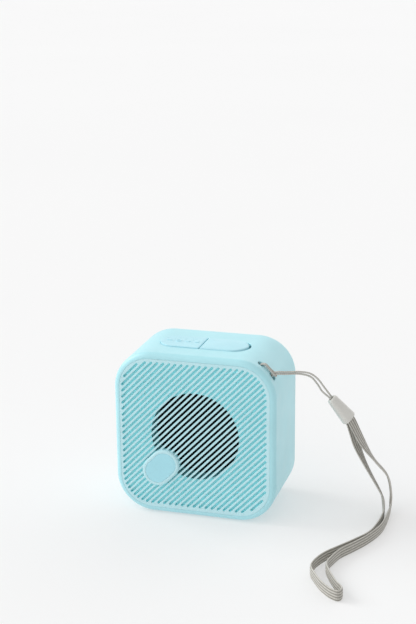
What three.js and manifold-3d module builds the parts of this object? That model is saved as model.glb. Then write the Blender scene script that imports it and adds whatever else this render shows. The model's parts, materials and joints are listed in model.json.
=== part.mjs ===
// A palm-sized portable wireless speaker: a soft-touch cup housing closed by a slatted front panel,
// a 40 mm driver behind it, a control pad and a charging-port flap on top, and a wrist strap that is
// hitched to a bar in one top corner. Millimetres, +Z up, the front faces -Y, and the origin is the
// bottom centre of the standing speaker.
import * as THREE from 'three';
import { mergeVertices } from 'three/addons/utils/BufferGeometryUtils.js';
import Module from 'manifold-3d';

const wasm = await Module();
wasm.setup();

// ---------------------------------------------------------------- driving dimensions
const GAP = 0.3; // clearance between touching pieces

// Body
const WIDTH = 70;
const HEIGHT = 71.2;
const DEPTH = 41.5;
const CORNER_R = 16.2;
const FRONT_EDGE_R = 2.3;
const BACK_EDGE_R = 6.6;
const WALL = 2.4;
const FOOT_STAND = 0.4;
const Z_BOTTOM = FOOT_STAND;
const Z_TOP = Z_BOTTOM + HEIGHT;
const Z_MID = (Z_TOP + Z_BOTTOM) / 2;
const Y_FRONT = -DEPTH / 2;
const Y_BACK = DEPTH / 2;

// Front panel: diagonal grooves with rounded ends, blind except over the driver
const PANEL_INSET = WALL + GAP;
const PANEL_T = 2.4;
const Y_PANEL_BACK = Y_FRONT + PANEL_T;
const SLOT_ANGLE = THREE.MathUtils.degToRad(45.6);
const SLOT_PITCH = 1.885;
const SLOT_OFFSET = -0.81;
const SLOT_W = 1.0;
const SLOT_DEPTH = 1.5;
const SLOT_FIELD = { x: -0.27, z: 0.1, w: 63.05, h: 63.8, r: 11.8 };
const SLOT_COUNT_EACH_SIDE = 21;
const SLAT_T = 1.3;

// Badge: a blank oval plate set in a low boss that lies along the grooves and stands proud of the panel
const BADGE = { x: -14.7, z: Z_MID - 14.8, outerR: 6.55, plateR: 5.0, half: 2.35, proud: 1.0, slope: 0.9 };
const BADGE_RECESS = 0.75;

// Driver, on an axis along Y
const DRIVER_Z = Z_MID;
const OPENING_R = 19.1;
const TUBE_WALL = 1.6;
const Y_TUBE_END = Y_FRONT + 9.2;
const MESH_T = 0.4;
const GASKET_T = 0.8;
const BASKET_FLANGE_R = 20.6;
const DRIVER_SCREW_R = 22.6;
const CONE_TRAVEL = 0.8;

// Top strip: the control pad on the left, the port flap on the right
const STRIP = { xLeft: -19.8, xRight: 19.8, y: -2.4, w: 14.8, depth: 2.6 };
const STRIP_FIT = 0.4;
const DECK_T = 1.2;
const PAD_RIGHT = -1.05;
const PAD_PROUD = 0.45;
const FLAP_LEFT = -0.6;
const FLAP_RIGHT = 18.6;
const FLAP_PROUD = 0.75;
const FLAP_T = 2.0;
const KEY_XS = [-15.9, -11.7, -7.6, -3.7];
const KEY_NAMES = ['minus', 'play', 'plus', 'mode'];
const KEY_CAP = { w: 2.9, d: 8.0 };
const KEY_TRAVEL = 0.35;

// Strap bar: two slots through the wall at the top right corner, with a bar between them
const STRAP_Y = -14.8;
const SLOT_WIDTH_Y = 3.0;
const BAR_ANGLES = [39.5, 53];
const HOLE_ANGLES = [27, 63];
const CORNER_X = WIDTH / 2 - CORNER_R;
const CORNER_Z = Z_TOP - CORNER_R;
const BAR_T = 1.6;
const STRAP_POCKET = { r: 12.6, wall: 1.4, endWall: 5, yFront: -18.0 };

// Strap
const CORD_D = 0.8;
const CORD_STEPS = 80;
const WEB_W = 4.5;
const WEB_T = 0.9;
const WEB_STEPS_PER_POINT = 2;
const BEAD = { narrowW: 4.3, narrowT: 3.4, wideW: 6.9, wideT: 4.6, heading: -116, tilt: -31 };

// Screws
const POST_XZ = [[-23, 12.4], [23, 12.4], [-23, 59.6], [23, 59.6]];
const POST_R = 3;
const SCREW = { headR: 1.9, headT: 1.2, shankR: 1.0 };

// ---------------------------------------------------------------- materials
function finish(color, roughness, metalness = 0) {
  return new THREE.MeshStandardMaterial({ color, roughness, metalness });
}
const MATERIALS = {
  shell: finish(0xaee3ea, 0.5),
  panel: finish(0xb4e6ea, 0.5),
  badge: finish(0xa6dbe6, 0.45),
  silicone: finish(0xb6e4ee, 0.6),
  cloth: finish(0x111213, 0.9),
  foam: finish(0x222222, 0.95),
  steel: finish(0xb9bcc0, 0.35, 1),
  darkSteel: finish(0x3a3c3f, 0.45, 1),
  paper: finish(0x1b1b1c, 0.85),
  rubber: finish(0x161617, 0.75),
  ferrite: finish(0x2e2f31, 0.6),
  copper: finish(0xb86f38, 0.35, 1),
  board: finish(0x1f6b45, 0.55),
  chip: finish(0x1c1c1e, 0.5),
  cell: finish(0x8fa4b8, 0.4),
  tape: finish(0xe4e0d4, 0.8),
  blackPlastic: finish(0x1a1b1d, 0.5),
  redWire: finish(0xb5312c, 0.5),
  blackWire: finish(0x1d1d1e, 0.5),
  footPad: finish(0x9fd3dc, 0.8),
  cord: finish(0xb9b6ab, 0.8),
  webbing: finish(0xb0aea6, 0.9),
  bead: finish(0xd9dad6, 0.45),
};

// ---------------------------------------------------------------- solid helpers
function toSolid(geometry) {
  const plain = geometry.clone();
  plain.deleteAttribute('normal');
  plain.deleteAttribute('uv');
  const merged = mergeVertices(plain, 1e-4);
  return new wasm.Manifold(new wasm.Mesh({
    numProp: 3,
    vertProperties: new Float32Array(merged.attributes.position.array),
    triVerts: new Uint32Array(merged.index.array),
  }));
}

function toGeometry(solid) {
  const mesh = solid.getMesh();
  const geometry = new THREE.BufferGeometry();
  geometry.setAttribute('position', new THREE.BufferAttribute(mesh.vertProperties, 3));
  geometry.setIndex(new THREE.BufferAttribute(mesh.triVerts, 1));
  geometry.computeVertexNormals();
  return geometry;
}

function join(...geometries) {
  return geometries.map(toSolid).reduce((a, b) => a.add(b));
}

function roundedRect(w, h, r, x = 0, y = 0) {
  const shape = new THREE.Shape();
  const hw = w / 2;
  const hh = h / 2;
  const quarter = Math.PI / 2;
  shape.moveTo(x + hw, y - hh + r);
  shape.lineTo(x + hw, y + hh - r);
  shape.absarc(x + hw - r, y + hh - r, r, 0, quarter, false);
  shape.lineTo(x - hw + r, y + hh);
  shape.absarc(x - hw + r, y + hh - r, r, quarter, 2 * quarter, false);
  shape.lineTo(x - hw, y - hh + r);
  shape.absarc(x - hw + r, y - hh + r, r, 2 * quarter, 3 * quarter, false);
  shape.lineTo(x + hw - r, y - hh);
  shape.absarc(x + hw - r, y - hh + r, r, 3 * quarter, 4 * quarter, false);
  return shape;
}

function stadium(half, r, angle = 0, x = 0, y = 0) {
  const dx = half * Math.cos(angle);
  const dy = half * Math.sin(angle);
  const quarter = Math.PI / 2;
  const shape = new THREE.Shape();
  shape.absarc(x + dx, y + dy, r, angle - quarter, angle + quarter, false);
  shape.absarc(x - dx, y - dy, r, angle + quarter, angle + 3 * quarter, false);
  return shape;
}

// Extrude an outline drawn in the front view (x, z) from y0 back to y1.
function frontPlate(shape, y0, y1, curveSegments = 6) {
  const geometry = new THREE.ExtrudeGeometry(shape, { depth: y1 - y0, bevelEnabled: false, curveSegments });
  return geometry.rotateX(Math.PI / 2).translate(0, y1, 0);
}

// Extrude an outline drawn in the top view (x, y) from z0 up to z1.
function topPlate(shape, z0, z1, curveSegments = 6) {
  const geometry = new THREE.ExtrudeGeometry(shape, { depth: z1 - z0, bevelEnabled: false, curveSegments });
  return geometry.translate(0, 0, z0);
}

function box(x0, x1, y0, y1, z0, z1) {
  const geometry = new THREE.BoxGeometry(x1 - x0, y1 - y0, z1 - z0);
  return geometry.translate((x0 + x1) / 2, (y0 + y1) / 2, (z0 + z1) / 2);
}

function cylinderY(r, y0, y1, x, z, segments = 20) {
  const geometry = new THREE.CylinderGeometry(r, r, y1 - y0, segments);
  return geometry.translate(x, (y0 + y1) / 2, z);
}

function cylinderZ(r, z0, z1, x, y, segments = 16) {
  const geometry = new THREE.CylinderGeometry(r, r, z1 - z0, segments).rotateX(Math.PI / 2);
  return geometry.translate(x, y, (z0 + z1) / 2);
}

// Turn a profile of [radius, y] points about the driver's axis.
function turned(profile, segments = 24, x = 0, z = DRIVER_Z) {
  const points = profile.map(([r, y]) => new THREE.Vector2(r, y));
  points.push(points[0].clone());
  return new THREE.LatheGeometry(points, segments).translate(x, 0, z);
}

function tube(points, diameter, steps, sides = 8) {
  const section = new THREE.Shape();
  section.absarc(0, 0, diameter / 2, 0, 2 * Math.PI, false);
  const path = new THREE.CatmullRomCurve3(points.map((p) => new THREE.Vector3(...p)), false, 'centripetal');
  return new THREE.ExtrudeGeometry(section, { extrudePath: path, steps, curveSegments: sides / 2 });
}

const speaker = new THREE.Group();

function addPart(name, shape, material) {
  const geometry = shape.isBufferGeometry ? toGeometry(toSolid(shape)) : toGeometry(shape);
  const mesh = new THREE.Mesh(geometry, material);
  mesh.name = name;
  speaker.add(mesh);
}

// ---------------------------------------------------------------- housing
// One end of the body: the outline extruded along Y with a rounded edge at the end named.
function roundedBody(edgeR, atFront, curveSegments = 5) {
  const spare = 20;
  const outline = roundedRect(WIDTH, HEIGHT, CORNER_R, 0, Z_MID);
  const geometry = new THREE.ExtrudeGeometry(outline, {
    depth: DEPTH + spare - edgeR,
    bevelThickness: edgeR,
    bevelSize: edgeR,
    bevelOffset: -edgeR,
    bevelSegments: atFront ? 2 : 4,
    curveSegments,
  });
  geometry.rotateX(Math.PI / 2);
  geometry.translate(0, atFront ? Y_BACK + spare : Y_BACK - edgeR, 0);
  return toSolid(geometry);
}

function cornerPoint(angleDeg, rho) {
  const a = THREE.MathUtils.degToRad(angleDeg);
  return [CORNER_X + rho * Math.cos(a), CORNER_Z + rho * Math.sin(a)];
}

// A piece of the wall's arc at the top right corner, between two angles and two radii.
function cornerArc(a0, a1, r0, r1, y0, y1) {
  const shape = new THREE.Shape();
  const start = THREE.MathUtils.degToRad(a0);
  const end = THREE.MathUtils.degToRad(a1);
  shape.absarc(CORNER_X, CORNER_Z, r1, start, end, false);
  shape.absarc(CORNER_X, CORNER_Z, r0, end, start, true);
  return frontPlate(shape, y0, y1, 3);
}

function stripOutline(grow) {
  const r = STRIP.w / 2 + grow;
  const shape = new THREE.Shape();
  const quarter = Math.PI / 2;
  const left = STRIP.xLeft + STRIP.w / 2;
  const right = STRIP.xRight - STRIP.w / 2;
  shape.absarc(right, STRIP.y, r, -quarter, quarter, false);
  shape.absarc(left, STRIP.y, r, quarter, 3 * quarter, false);
  return shape;
}

const Z_POCKET = Z_TOP - STRIP.depth;
const Z_DECK = Z_POCKET - DECK_T;
const USB = { x: 5.6, w: 9.0, d: 3.3, z0: Z_TOP - 10 };
const JACK = { x: 14.6, w: 6.2, d: 5.4, z0: Z_TOP - 11 };
const TETHER = { x0: 0, x1: 0.5, half: 2.6 };
const FOOT = { half: 20, r: 3, ys: [-12.5, 11] };

function buildHousing() {
  let body = roundedBody(FRONT_EDGE_R, true).intersect(roundedBody(BACK_EDGE_R, false));
  const innerR = CORNER_R - WALL;
  const innerW = WIDTH - 2 * WALL;
  const innerH = HEIGHT - 2 * WALL;
  const straight = frontPlate(roundedRect(innerW, innerH, innerR, 0, Z_MID), Y_FRONT - 1, Y_BACK - BACK_EDGE_R, 5);
  const backInset = 3.6;
  const rear = frontPlate(
    roundedRect(innerW - 2 * backInset, innerH - 2 * backInset, innerR - backInset, 0, Z_MID),
    Y_BACK - BACK_EDGE_R - 1, Y_BACK - WALL, 4,
  );
  body = body.subtract(join(straight, rear));
  // The deck under the top strip, then the strip's pocket and the openings through the deck
  body = body.add(toSolid(topPlate(stripOutline(1.6), Z_DECK, Z_TOP - 1)));
  body = body.subtract(toSolid(topPlate(stripOutline(0), Z_POCKET, Z_TOP + 1)));
  for (const x of KEY_XS) {
    body = body.subtract(toSolid(cylinderZ(1.25, Z_DECK - 1, Z_POCKET + 1, x, STRIP.y)));
  }
  const usbHole = box(USB.x - 5, USB.x + 5, STRIP.y - 2.1, STRIP.y + 2.1, Z_DECK - 1, Z_POCKET + 1);
  const jackHole = cylinderZ(2.6, Z_DECK - 1, Z_POCKET + 1, JACK.x, STRIP.y);
  const tetherHole = box(
    TETHER.x0 - GAP, TETHER.x1 + GAP, STRIP.y - TETHER.half - GAP, STRIP.y + TETHER.half + GAP, Z_DECK - 1, Z_POCKET + 1);
  body = body.subtract(join(usbHole, jackHole, tetherHole));
  // Screw posts from the back wall, with a counterbore for the head
  for (const [x, z] of POST_XZ) {
    body = body.add(toSolid(cylinderY(POST_R, -9.7, Y_BACK - WALL + 0.5, x, z, 16)));
    body = body.subtract(toSolid(cylinderY(SCREW.headR + 0.35, -6, Y_BACK + 1, x, z, 16)));
    body = body.subtract(toSolid(cylinderY(SCREW.shankR + 0.3, -11, 0, x, z, 12)));
  }
  // A closed pocket behind the corner, and two slots into it either side of the strap bar
  const y0 = STRAP_Y - SLOT_WIDTH_Y / 2;
  const y1 = STRAP_Y + SLOT_WIDTH_Y / 2;
  const deep = STRAP_POCKET.r;
  body = body.add(toSolid(cornerArc(
    HOLE_ANGLES[0] - STRAP_POCKET.endWall, HOLE_ANGLES[1] + STRAP_POCKET.endWall,
    deep - STRAP_POCKET.wall, CORNER_R - 1, STRAP_POCKET.yFront, y1 + STRAP_POCKET.wall)));
  body = body.subtract(toSolid(cornerArc(HOLE_ANGLES[0], BAR_ANGLES[0], deep, CORNER_R + 1, y0, y1)));
  body = body.subtract(toSolid(cornerArc(BAR_ANGLES[1], HOLE_ANGLES[1], deep, CORNER_R + 1, y0, y1)));
  body = body.subtract(toSolid(cornerArc(BAR_ANGLES[0] - 1, BAR_ANGLES[1] + 1, deep, CORNER_R - BAR_T, y0, y1)));
  // Recesses for the feet, and pillars for the main board
  for (const y of FOOT.ys) {
    const recess = topPlate(stadium(FOOT.half + GAP, FOOT.r + GAP, 0, 0, y), Z_BOTTOM - 1, Z_BOTTOM + 0.7, 4);
    body = body.subtract(toSolid(recess));
  }
  for (const [x, z] of PILLAR_XZ) {
    body = body.add(toSolid(cylinderY(2.2, Y_BOARD + BOARD_T + GAP, Y_BACK - WALL + 0.5, x, z, 12)));
    body = body.subtract(toSolid(cylinderY(0.95, Y_BOARD, Y_BACK - WALL - 0.4, x, z, 10)));
  }
  return body;
}

// ---------------------------------------------------------------- electronics
const Y_BOARD = 11.9;
const BOARD_T = 1.2;
const BOARD = { x: 19, z0: 35.5, z1: 60 };
const PILLAR_XZ = [[-16.5, 57.5], [16.5, 57.5]];
const BATTERY = { x: 19, y0: 11.0, y1: 16.4, z0: 6.5, z1: 31.5 };

function screw(x, z, yHead, length, name) {
  // The head's outer face is at yHead and the shank runs towards -Y from it.
  const profile = [
    [0, yHead], [SCREW.headR, yHead], [SCREW.headR, yHead - SCREW.headT],
    [SCREW.shankR, yHead - SCREW.headT - 0.4], [SCREW.shankR, yHead - length + 0.8], [0, yHead - length],
  ].map(([r, y]) => new THREE.Vector2(r, y)).reverse();
  let solid = toSolid(new THREE.LatheGeometry(profile, 12).translate(x, 0, z));
  const arm = 1.1;
  const half = 0.22;
  solid = solid.subtract(toSolid(box(x - arm, x + arm, yHead - 0.7, yHead + 1, z - half, z + half)));
  solid = solid.subtract(toSolid(box(x - half, x + half, yHead - 0.7, yHead + 1, z - arm, z + arm)));
  addPart(name, solid, MATERIALS.steel);
}

function buildElectronics() {
  let board = toSolid(frontPlate(
    roundedRect(2 * BOARD.x, BOARD.z1 - BOARD.z0, 1.5, 0, (BOARD.z0 + BOARD.z1) / 2), Y_BOARD, Y_BOARD + BOARD_T, 2));
  for (const [x, z] of PILLAR_XZ) {
    board = board.subtract(toSolid(cylinderY(SCREW.shankR + GAP, Y_BOARD - 1, Y_BOARD + 3, x, z, 12)));
  }
  addPart('main_board', board, MATERIALS.board);
  const chipBack = Y_BOARD - GAP;
  addPart('wireless_module', box(-14, -2, chipBack - 1.8, chipBack, 48, 57.5), MATERIALS.steel);
  addPart('amplifier_chip', box(3, 9, chipBack - 1.1, chipBack, 49, 55), MATERIALS.chip);
  addPart('charge_chip', box(-13.5, -9.5, chipBack - 1.0, chipBack, 38.5, 42.5), MATERIALS.chip);
  addPart('battery_cell', frontPlate(
    roundedRect(2 * BATTERY.x, BATTERY.z1 - BATTERY.z0, 2.2, 0, (BATTERY.z0 + BATTERY.z1) / 2),
    BATTERY.y0, BATTERY.y1, 3), MATERIALS.cell);
  addPart('battery_tape', box(-12, 12, BATTERY.y1 + GAP, Y_BACK - WALL - GAP, 12, 26), MATERIALS.tape);
  PILLAR_XZ.forEach(([x, z], i) => {
    // Board screws come from the front, so they are drawn facing the other way and turned round.
    const name = `board_screw_${i + 1}`;
    const profile = [[0, -1.3], [1.7, -1.3], [1.7, -GAP], [0.8, -GAP], [0.8, 4.3], [0, 4.9]]
      .map(([r, y]) => new THREE.Vector2(r, y + Y_BOARD));
    addPart(name, new THREE.LatheGeometry(profile, 12).translate(x, 0, z), MATERIALS.steel);
  });
}

// ---------------------------------------------------------------- front panel
function insideRounded(x, z, w, h, r) {
  const qx = Math.max(Math.abs(x) - (w / 2 - r), 0);
  const qz = Math.max(Math.abs(z) - (h / 2 - r), 0);
  return Math.abs(x) <= w / 2 && Math.abs(z) <= h / 2 && Math.hypot(qx, qz) <= r;
}

// How far the groove at distance q from the panel's middle runs each way, inside the groove field.
function grooveSpan(q) {
  const dir = [Math.cos(SLOT_ANGLE), Math.sin(SLOT_ANGLE)];
  const normal = [-dir[1], dir[0]];
  const w = SLOT_FIELD.w - SLOT_W;
  const h = SLOT_FIELD.h - SLOT_W;
  const r = SLOT_FIELD.r - SLOT_W / 2;
  const step = 0.05;
  const inside = [];
  for (let s = -50; s <= 50; s += step) {
    const x = q * normal[0] + s * dir[0] - SLOT_FIELD.x;
    const z = q * normal[1] + s * dir[1] - SLOT_FIELD.z;
    if (insideRounded(x, z, w, h, r)) inside.push(s);
  }
  return inside.length > 1 / step ? [inside[0], inside[inside.length - 1]] : null;
}

function badgeOutline(r) {
  return stadium(BADGE.half, r, SLOT_ANGLE, BADGE.x, BADGE.z);
}

function buildPanel() {
  const outline = roundedRect(WIDTH - 2 * PANEL_INSET, HEIGHT - 2 * PANEL_INSET, CORNER_R - PANEL_INSET, 0, Z_MID);
  let panel = toSolid(frontPlate(outline, Y_FRONT, Y_PANEL_BACK));
  const grooves = [];
  for (let k = -SLOT_COUNT_EACH_SIDE; k <= SLOT_COUNT_EACH_SIDE; k += 1) {
    const q = SLOT_OFFSET + k * SLOT_PITCH;
    const span = grooveSpan(q);
    if (!span) continue;
    const middle = (span[0] + span[1]) / 2;
    const half = (span[1] - span[0]) / 2;
    const x = -q * Math.sin(SLOT_ANGLE) + middle * Math.cos(SLOT_ANGLE);
    const z = q * Math.cos(SLOT_ANGLE) + middle * Math.sin(SLOT_ANGLE) + Z_MID;
    const outlineOfGroove = stadium(half, SLOT_W / 2, SLOT_ANGLE, x, z);
    grooves.push(toSolid(frontPlate(outlineOfGroove, Y_FRONT - 1, Y_FRONT + SLOT_DEPTH, 2)));
  }
  const boss = toSolid(frontPlate(badgeOutline(BADGE.outerR), Y_FRONT - 2, Y_FRONT + 3, 6));
  const cut = grooves.reduce((a, b) => a.add(b)).subtract(boss);
  // The tube behind the slats, with ears for the driver's screws
  panel = panel.add(toSolid(cylinderY(OPENING_R + TUBE_WALL, Y_PANEL_BACK - 0.5, Y_TUBE_END, 0, DRIVER_Z, 40)));
  for (const [x, z] of driverScrewXZ()) {
    panel = panel.add(toSolid(cylinderY(2.1, Y_PANEL_BACK - 0.5, Y_TUBE_END + MESH_T + GASKET_T, x, z, 12)));
  }
  panel = panel.subtract(toSolid(cylinderY(OPENING_R, Y_FRONT + SLAT_T, Y_TUBE_END + 5, 0, DRIVER_Z, 40)));
  for (const [x, z] of driverScrewXZ()) {
    panel = panel.subtract(toSolid(cylinderY(1.25, Y_TUBE_END - 5, Y_TUBE_END + 6, x, z, 10)));
  }
  panel = panel.subtract(cut);
  const yBadge = Y_FRONT - BADGE.proud;
  const crown = new THREE.ExtrudeGeometry(badgeOutline(BADGE.outerR), {
    depth: 0.1, bevelThickness: BADGE.proud, bevelSize: BADGE.slope, bevelOffset: -BADGE.slope, bevelSegments: 3,
    curveSegments: 6,
  });
  panel = panel.add(toSolid(crown.rotateX(Math.PI / 2).translate(0, Y_FRONT + 0.1, 0)));
  const recess = frontPlate(badgeOutline(BADGE.plateR + GAP), yBadge - 1, yBadge + BADGE_RECESS, 6);
  panel = panel.subtract(toSolid(recess));
  // Bosses that the housing screws bite into
  for (const [x, z] of POST_XZ) {
    panel = panel.add(toSolid(cylinderY(POST_R, Y_PANEL_BACK - 0.5, -10, x, z, 16)));
    panel = panel.subtract(toSolid(cylinderY(SCREW.shankR + GAP, -17.5, -9, x, z, 12)));
  }
  addPart('front_panel', panel, MATERIALS.panel);
  addPart('badge_plate', frontPlate(
    badgeOutline(BADGE.plateR), yBadge, yBadge + BADGE_RECESS - GAP, 6), MATERIALS.badge);
}

// ---------------------------------------------------------------- driver
function driverScrewXZ() {
  const reach = DRIVER_SCREW_R * Math.SQRT1_2;
  return [[-1, -1], [1, -1], [-1, 1], [1, 1]].map(([sx, sz]) => [sx * reach, DRIVER_Z + sz * reach]);
}

function buildDriver() {
  const y = Y_TUBE_END + GAP; // front of the dust cloth
  addPart('acoustic_cloth', cylinderY(OPENING_R + TUBE_WALL - 0.2, y, y + MESH_T, 0, DRIVER_Z, 32), MATERIALS.cloth);
  const yGasket = y + MESH_T + GAP;
  addPart('driver_gasket', turned([
    [17.6, yGasket], [BASKET_FLANGE_R - 0.4, yGasket],
    [BASKET_FLANGE_R - 0.4, yGasket + GASKET_T], [17.6, yGasket + GASKET_T],
  ]), MATERIALS.foam);
  const yf = yGasket + GASKET_T + GAP; // front of the basket flange
  const yb = yf + 9.6; // back of the basket
  let basket = toSolid(turned([
    [17.4, yf], [BASKET_FLANGE_R, yf], [BASKET_FLANGE_R, yf + 0.8], [18.4, yf + 0.8], [14.2, yb - 0.8],
    [14.2, yb], [7, yb], [7, yb - 0.8], [13.5, yb - 0.8], [17.4, yf + 1.7],
  ]));
  for (const [x, z] of driverScrewXZ()) {
    basket = basket.add(toSolid(cylinderY(2.2, yf, yf + 0.8, x, z, 12)));
  }
  for (const angle of [0, 90, 180, 270]) {
    const window = new THREE.BoxGeometry(12, 5, 12).translate(17, 0, 0).rotateY(THREE.MathUtils.degToRad(angle));
    basket = basket.subtract(toSolid(window.translate(0, yf + 4.6, DRIVER_Z)));
  }
  for (const [x, z] of driverScrewXZ()) {
    basket = basket.subtract(toSolid(cylinderY(SCREW.shankR + 0.25, yf - 1, yf + 2, x, z, 12)));
  }
  addPart('driver_basket', basket, MATERIALS.darkSteel);
  addPart('cone_surround', turned([
    [14.0, yf + 0.5], [14.6, yf - 0.2], [15.5, yf - 0.45], [16.4, yf - 0.2], [17.0, yf + 0.5],
    [17.0, yf + 0.9], [15.5, yf + 0.05], [14.0, yf + 0.9],
  ]), MATERIALS.rubber);
  addPart('cone', turned([
    [5.3, yf + 5.3], [13.7, yf + 0.4], [13.7, yf + 0.9], [5.6, yf + 5.8], [5.3, yf + 6.0],
  ]), MATERIALS.paper);
  const cap = [[0, yf + 3.6], [2.4, yf + 4.0], [4.9, yf + 5.2], [4.9, yf + 5.7], [2.3, yf + 4.5], [0, yf + 4.1]]
    .map(([r, h]) => new THREE.Vector2(r, h));
  addPart('dust_cap', new THREE.LatheGeometry(cap, 16).translate(0, 0, DRIVER_Z), MATERIALS.paper);
  addPart('voice_coil', turned([
    [4.8, yf + 6.3], [5.3, yf + 6.3], [5.3, yf + 12.2], [4.8, yf + 12.2],
  ], 20), MATERIALS.copper);
  addPart('spider', turned([
    [5.9, yf + 7.0], [7.7, yf + 6.4], [9.6, yf + 7.0], [11.4, yf + 6.6],
    [11.4, yf + 7.0], [9.6, yf + 7.4], [7.7, yf + 6.8], [5.9, yf + 7.4],
  ]), MATERIALS.foam);
  const yp = yb + GAP;
  addPart('top_plate', turned([[5.8, yp], [10.4, yp], [10.4, yp + 1.8], [5.8, yp + 1.8]]), MATERIALS.steel);
  addPart('magnet', turned([
    [6.6, yp + 2.1], [11.6, yp + 2.1], [11.6, yp + 5.6], [6.6, yp + 5.6],
  ]), MATERIALS.ferrite);
  const yoke = [[0, yp], [4.3, yp], [4.3, yp + 5.9], [11, yp + 5.9], [11, yp + 7.4], [0, yp + 7.4]]
    .map(([r, h]) => new THREE.Vector2(r, h));
  addPart('yoke', new THREE.LatheGeometry(yoke, 20).translate(0, 0, DRIVER_Z), MATERIALS.steel);
  addPart('driver_terminal', box(-4, 4, yf + 1.1, yf + 2.2, DRIVER_Z - 21.4, DRIVER_Z - 18.6), MATERIALS.board);
  driverScrewXZ().forEach(([x, z], i) => screw(x, z, yf + 0.8 + GAP + SCREW.headT, 6.2, `driver_screw_${i + 1}`));
  return { yf, yb, yp };
}

// ---------------------------------------------------------------- top strip
function keyOutline(x, grow) {
  const shape = stadium(KEY_CAP.d / 2 - KEY_CAP.w / 2, KEY_CAP.w / 2 + grow, Math.PI / 2, x, STRIP.y);
  return shape;
}

// A raised symbol on a key: minus, ring, plus and triangle.
function keySymbol(name, x, z0, z1) {
  const line = 0.35;
  const reach = 1.0;
  const bar = box(x - reach, x + reach, STRIP.y - line, STRIP.y + line, z0, z1);
  const post = box(x - line, x + line, STRIP.y - reach, STRIP.y + reach, z0, z1);
  if (name === 'minus') return toSolid(bar);
  if (name === 'plus') return join(bar, post);
  if (name === 'play') {
    return toSolid(cylinderZ(1.25, z0, z1, x, STRIP.y, 20)).subtract(toSolid(cylinderZ(0.8, z0 - 1, z1 + 1, x, STRIP.y)));
  }
  return toSolid(box(x - 0.9, x + 0.9, STRIP.y - 0.9, STRIP.y + 0.9, z0, z1));
}

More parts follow.
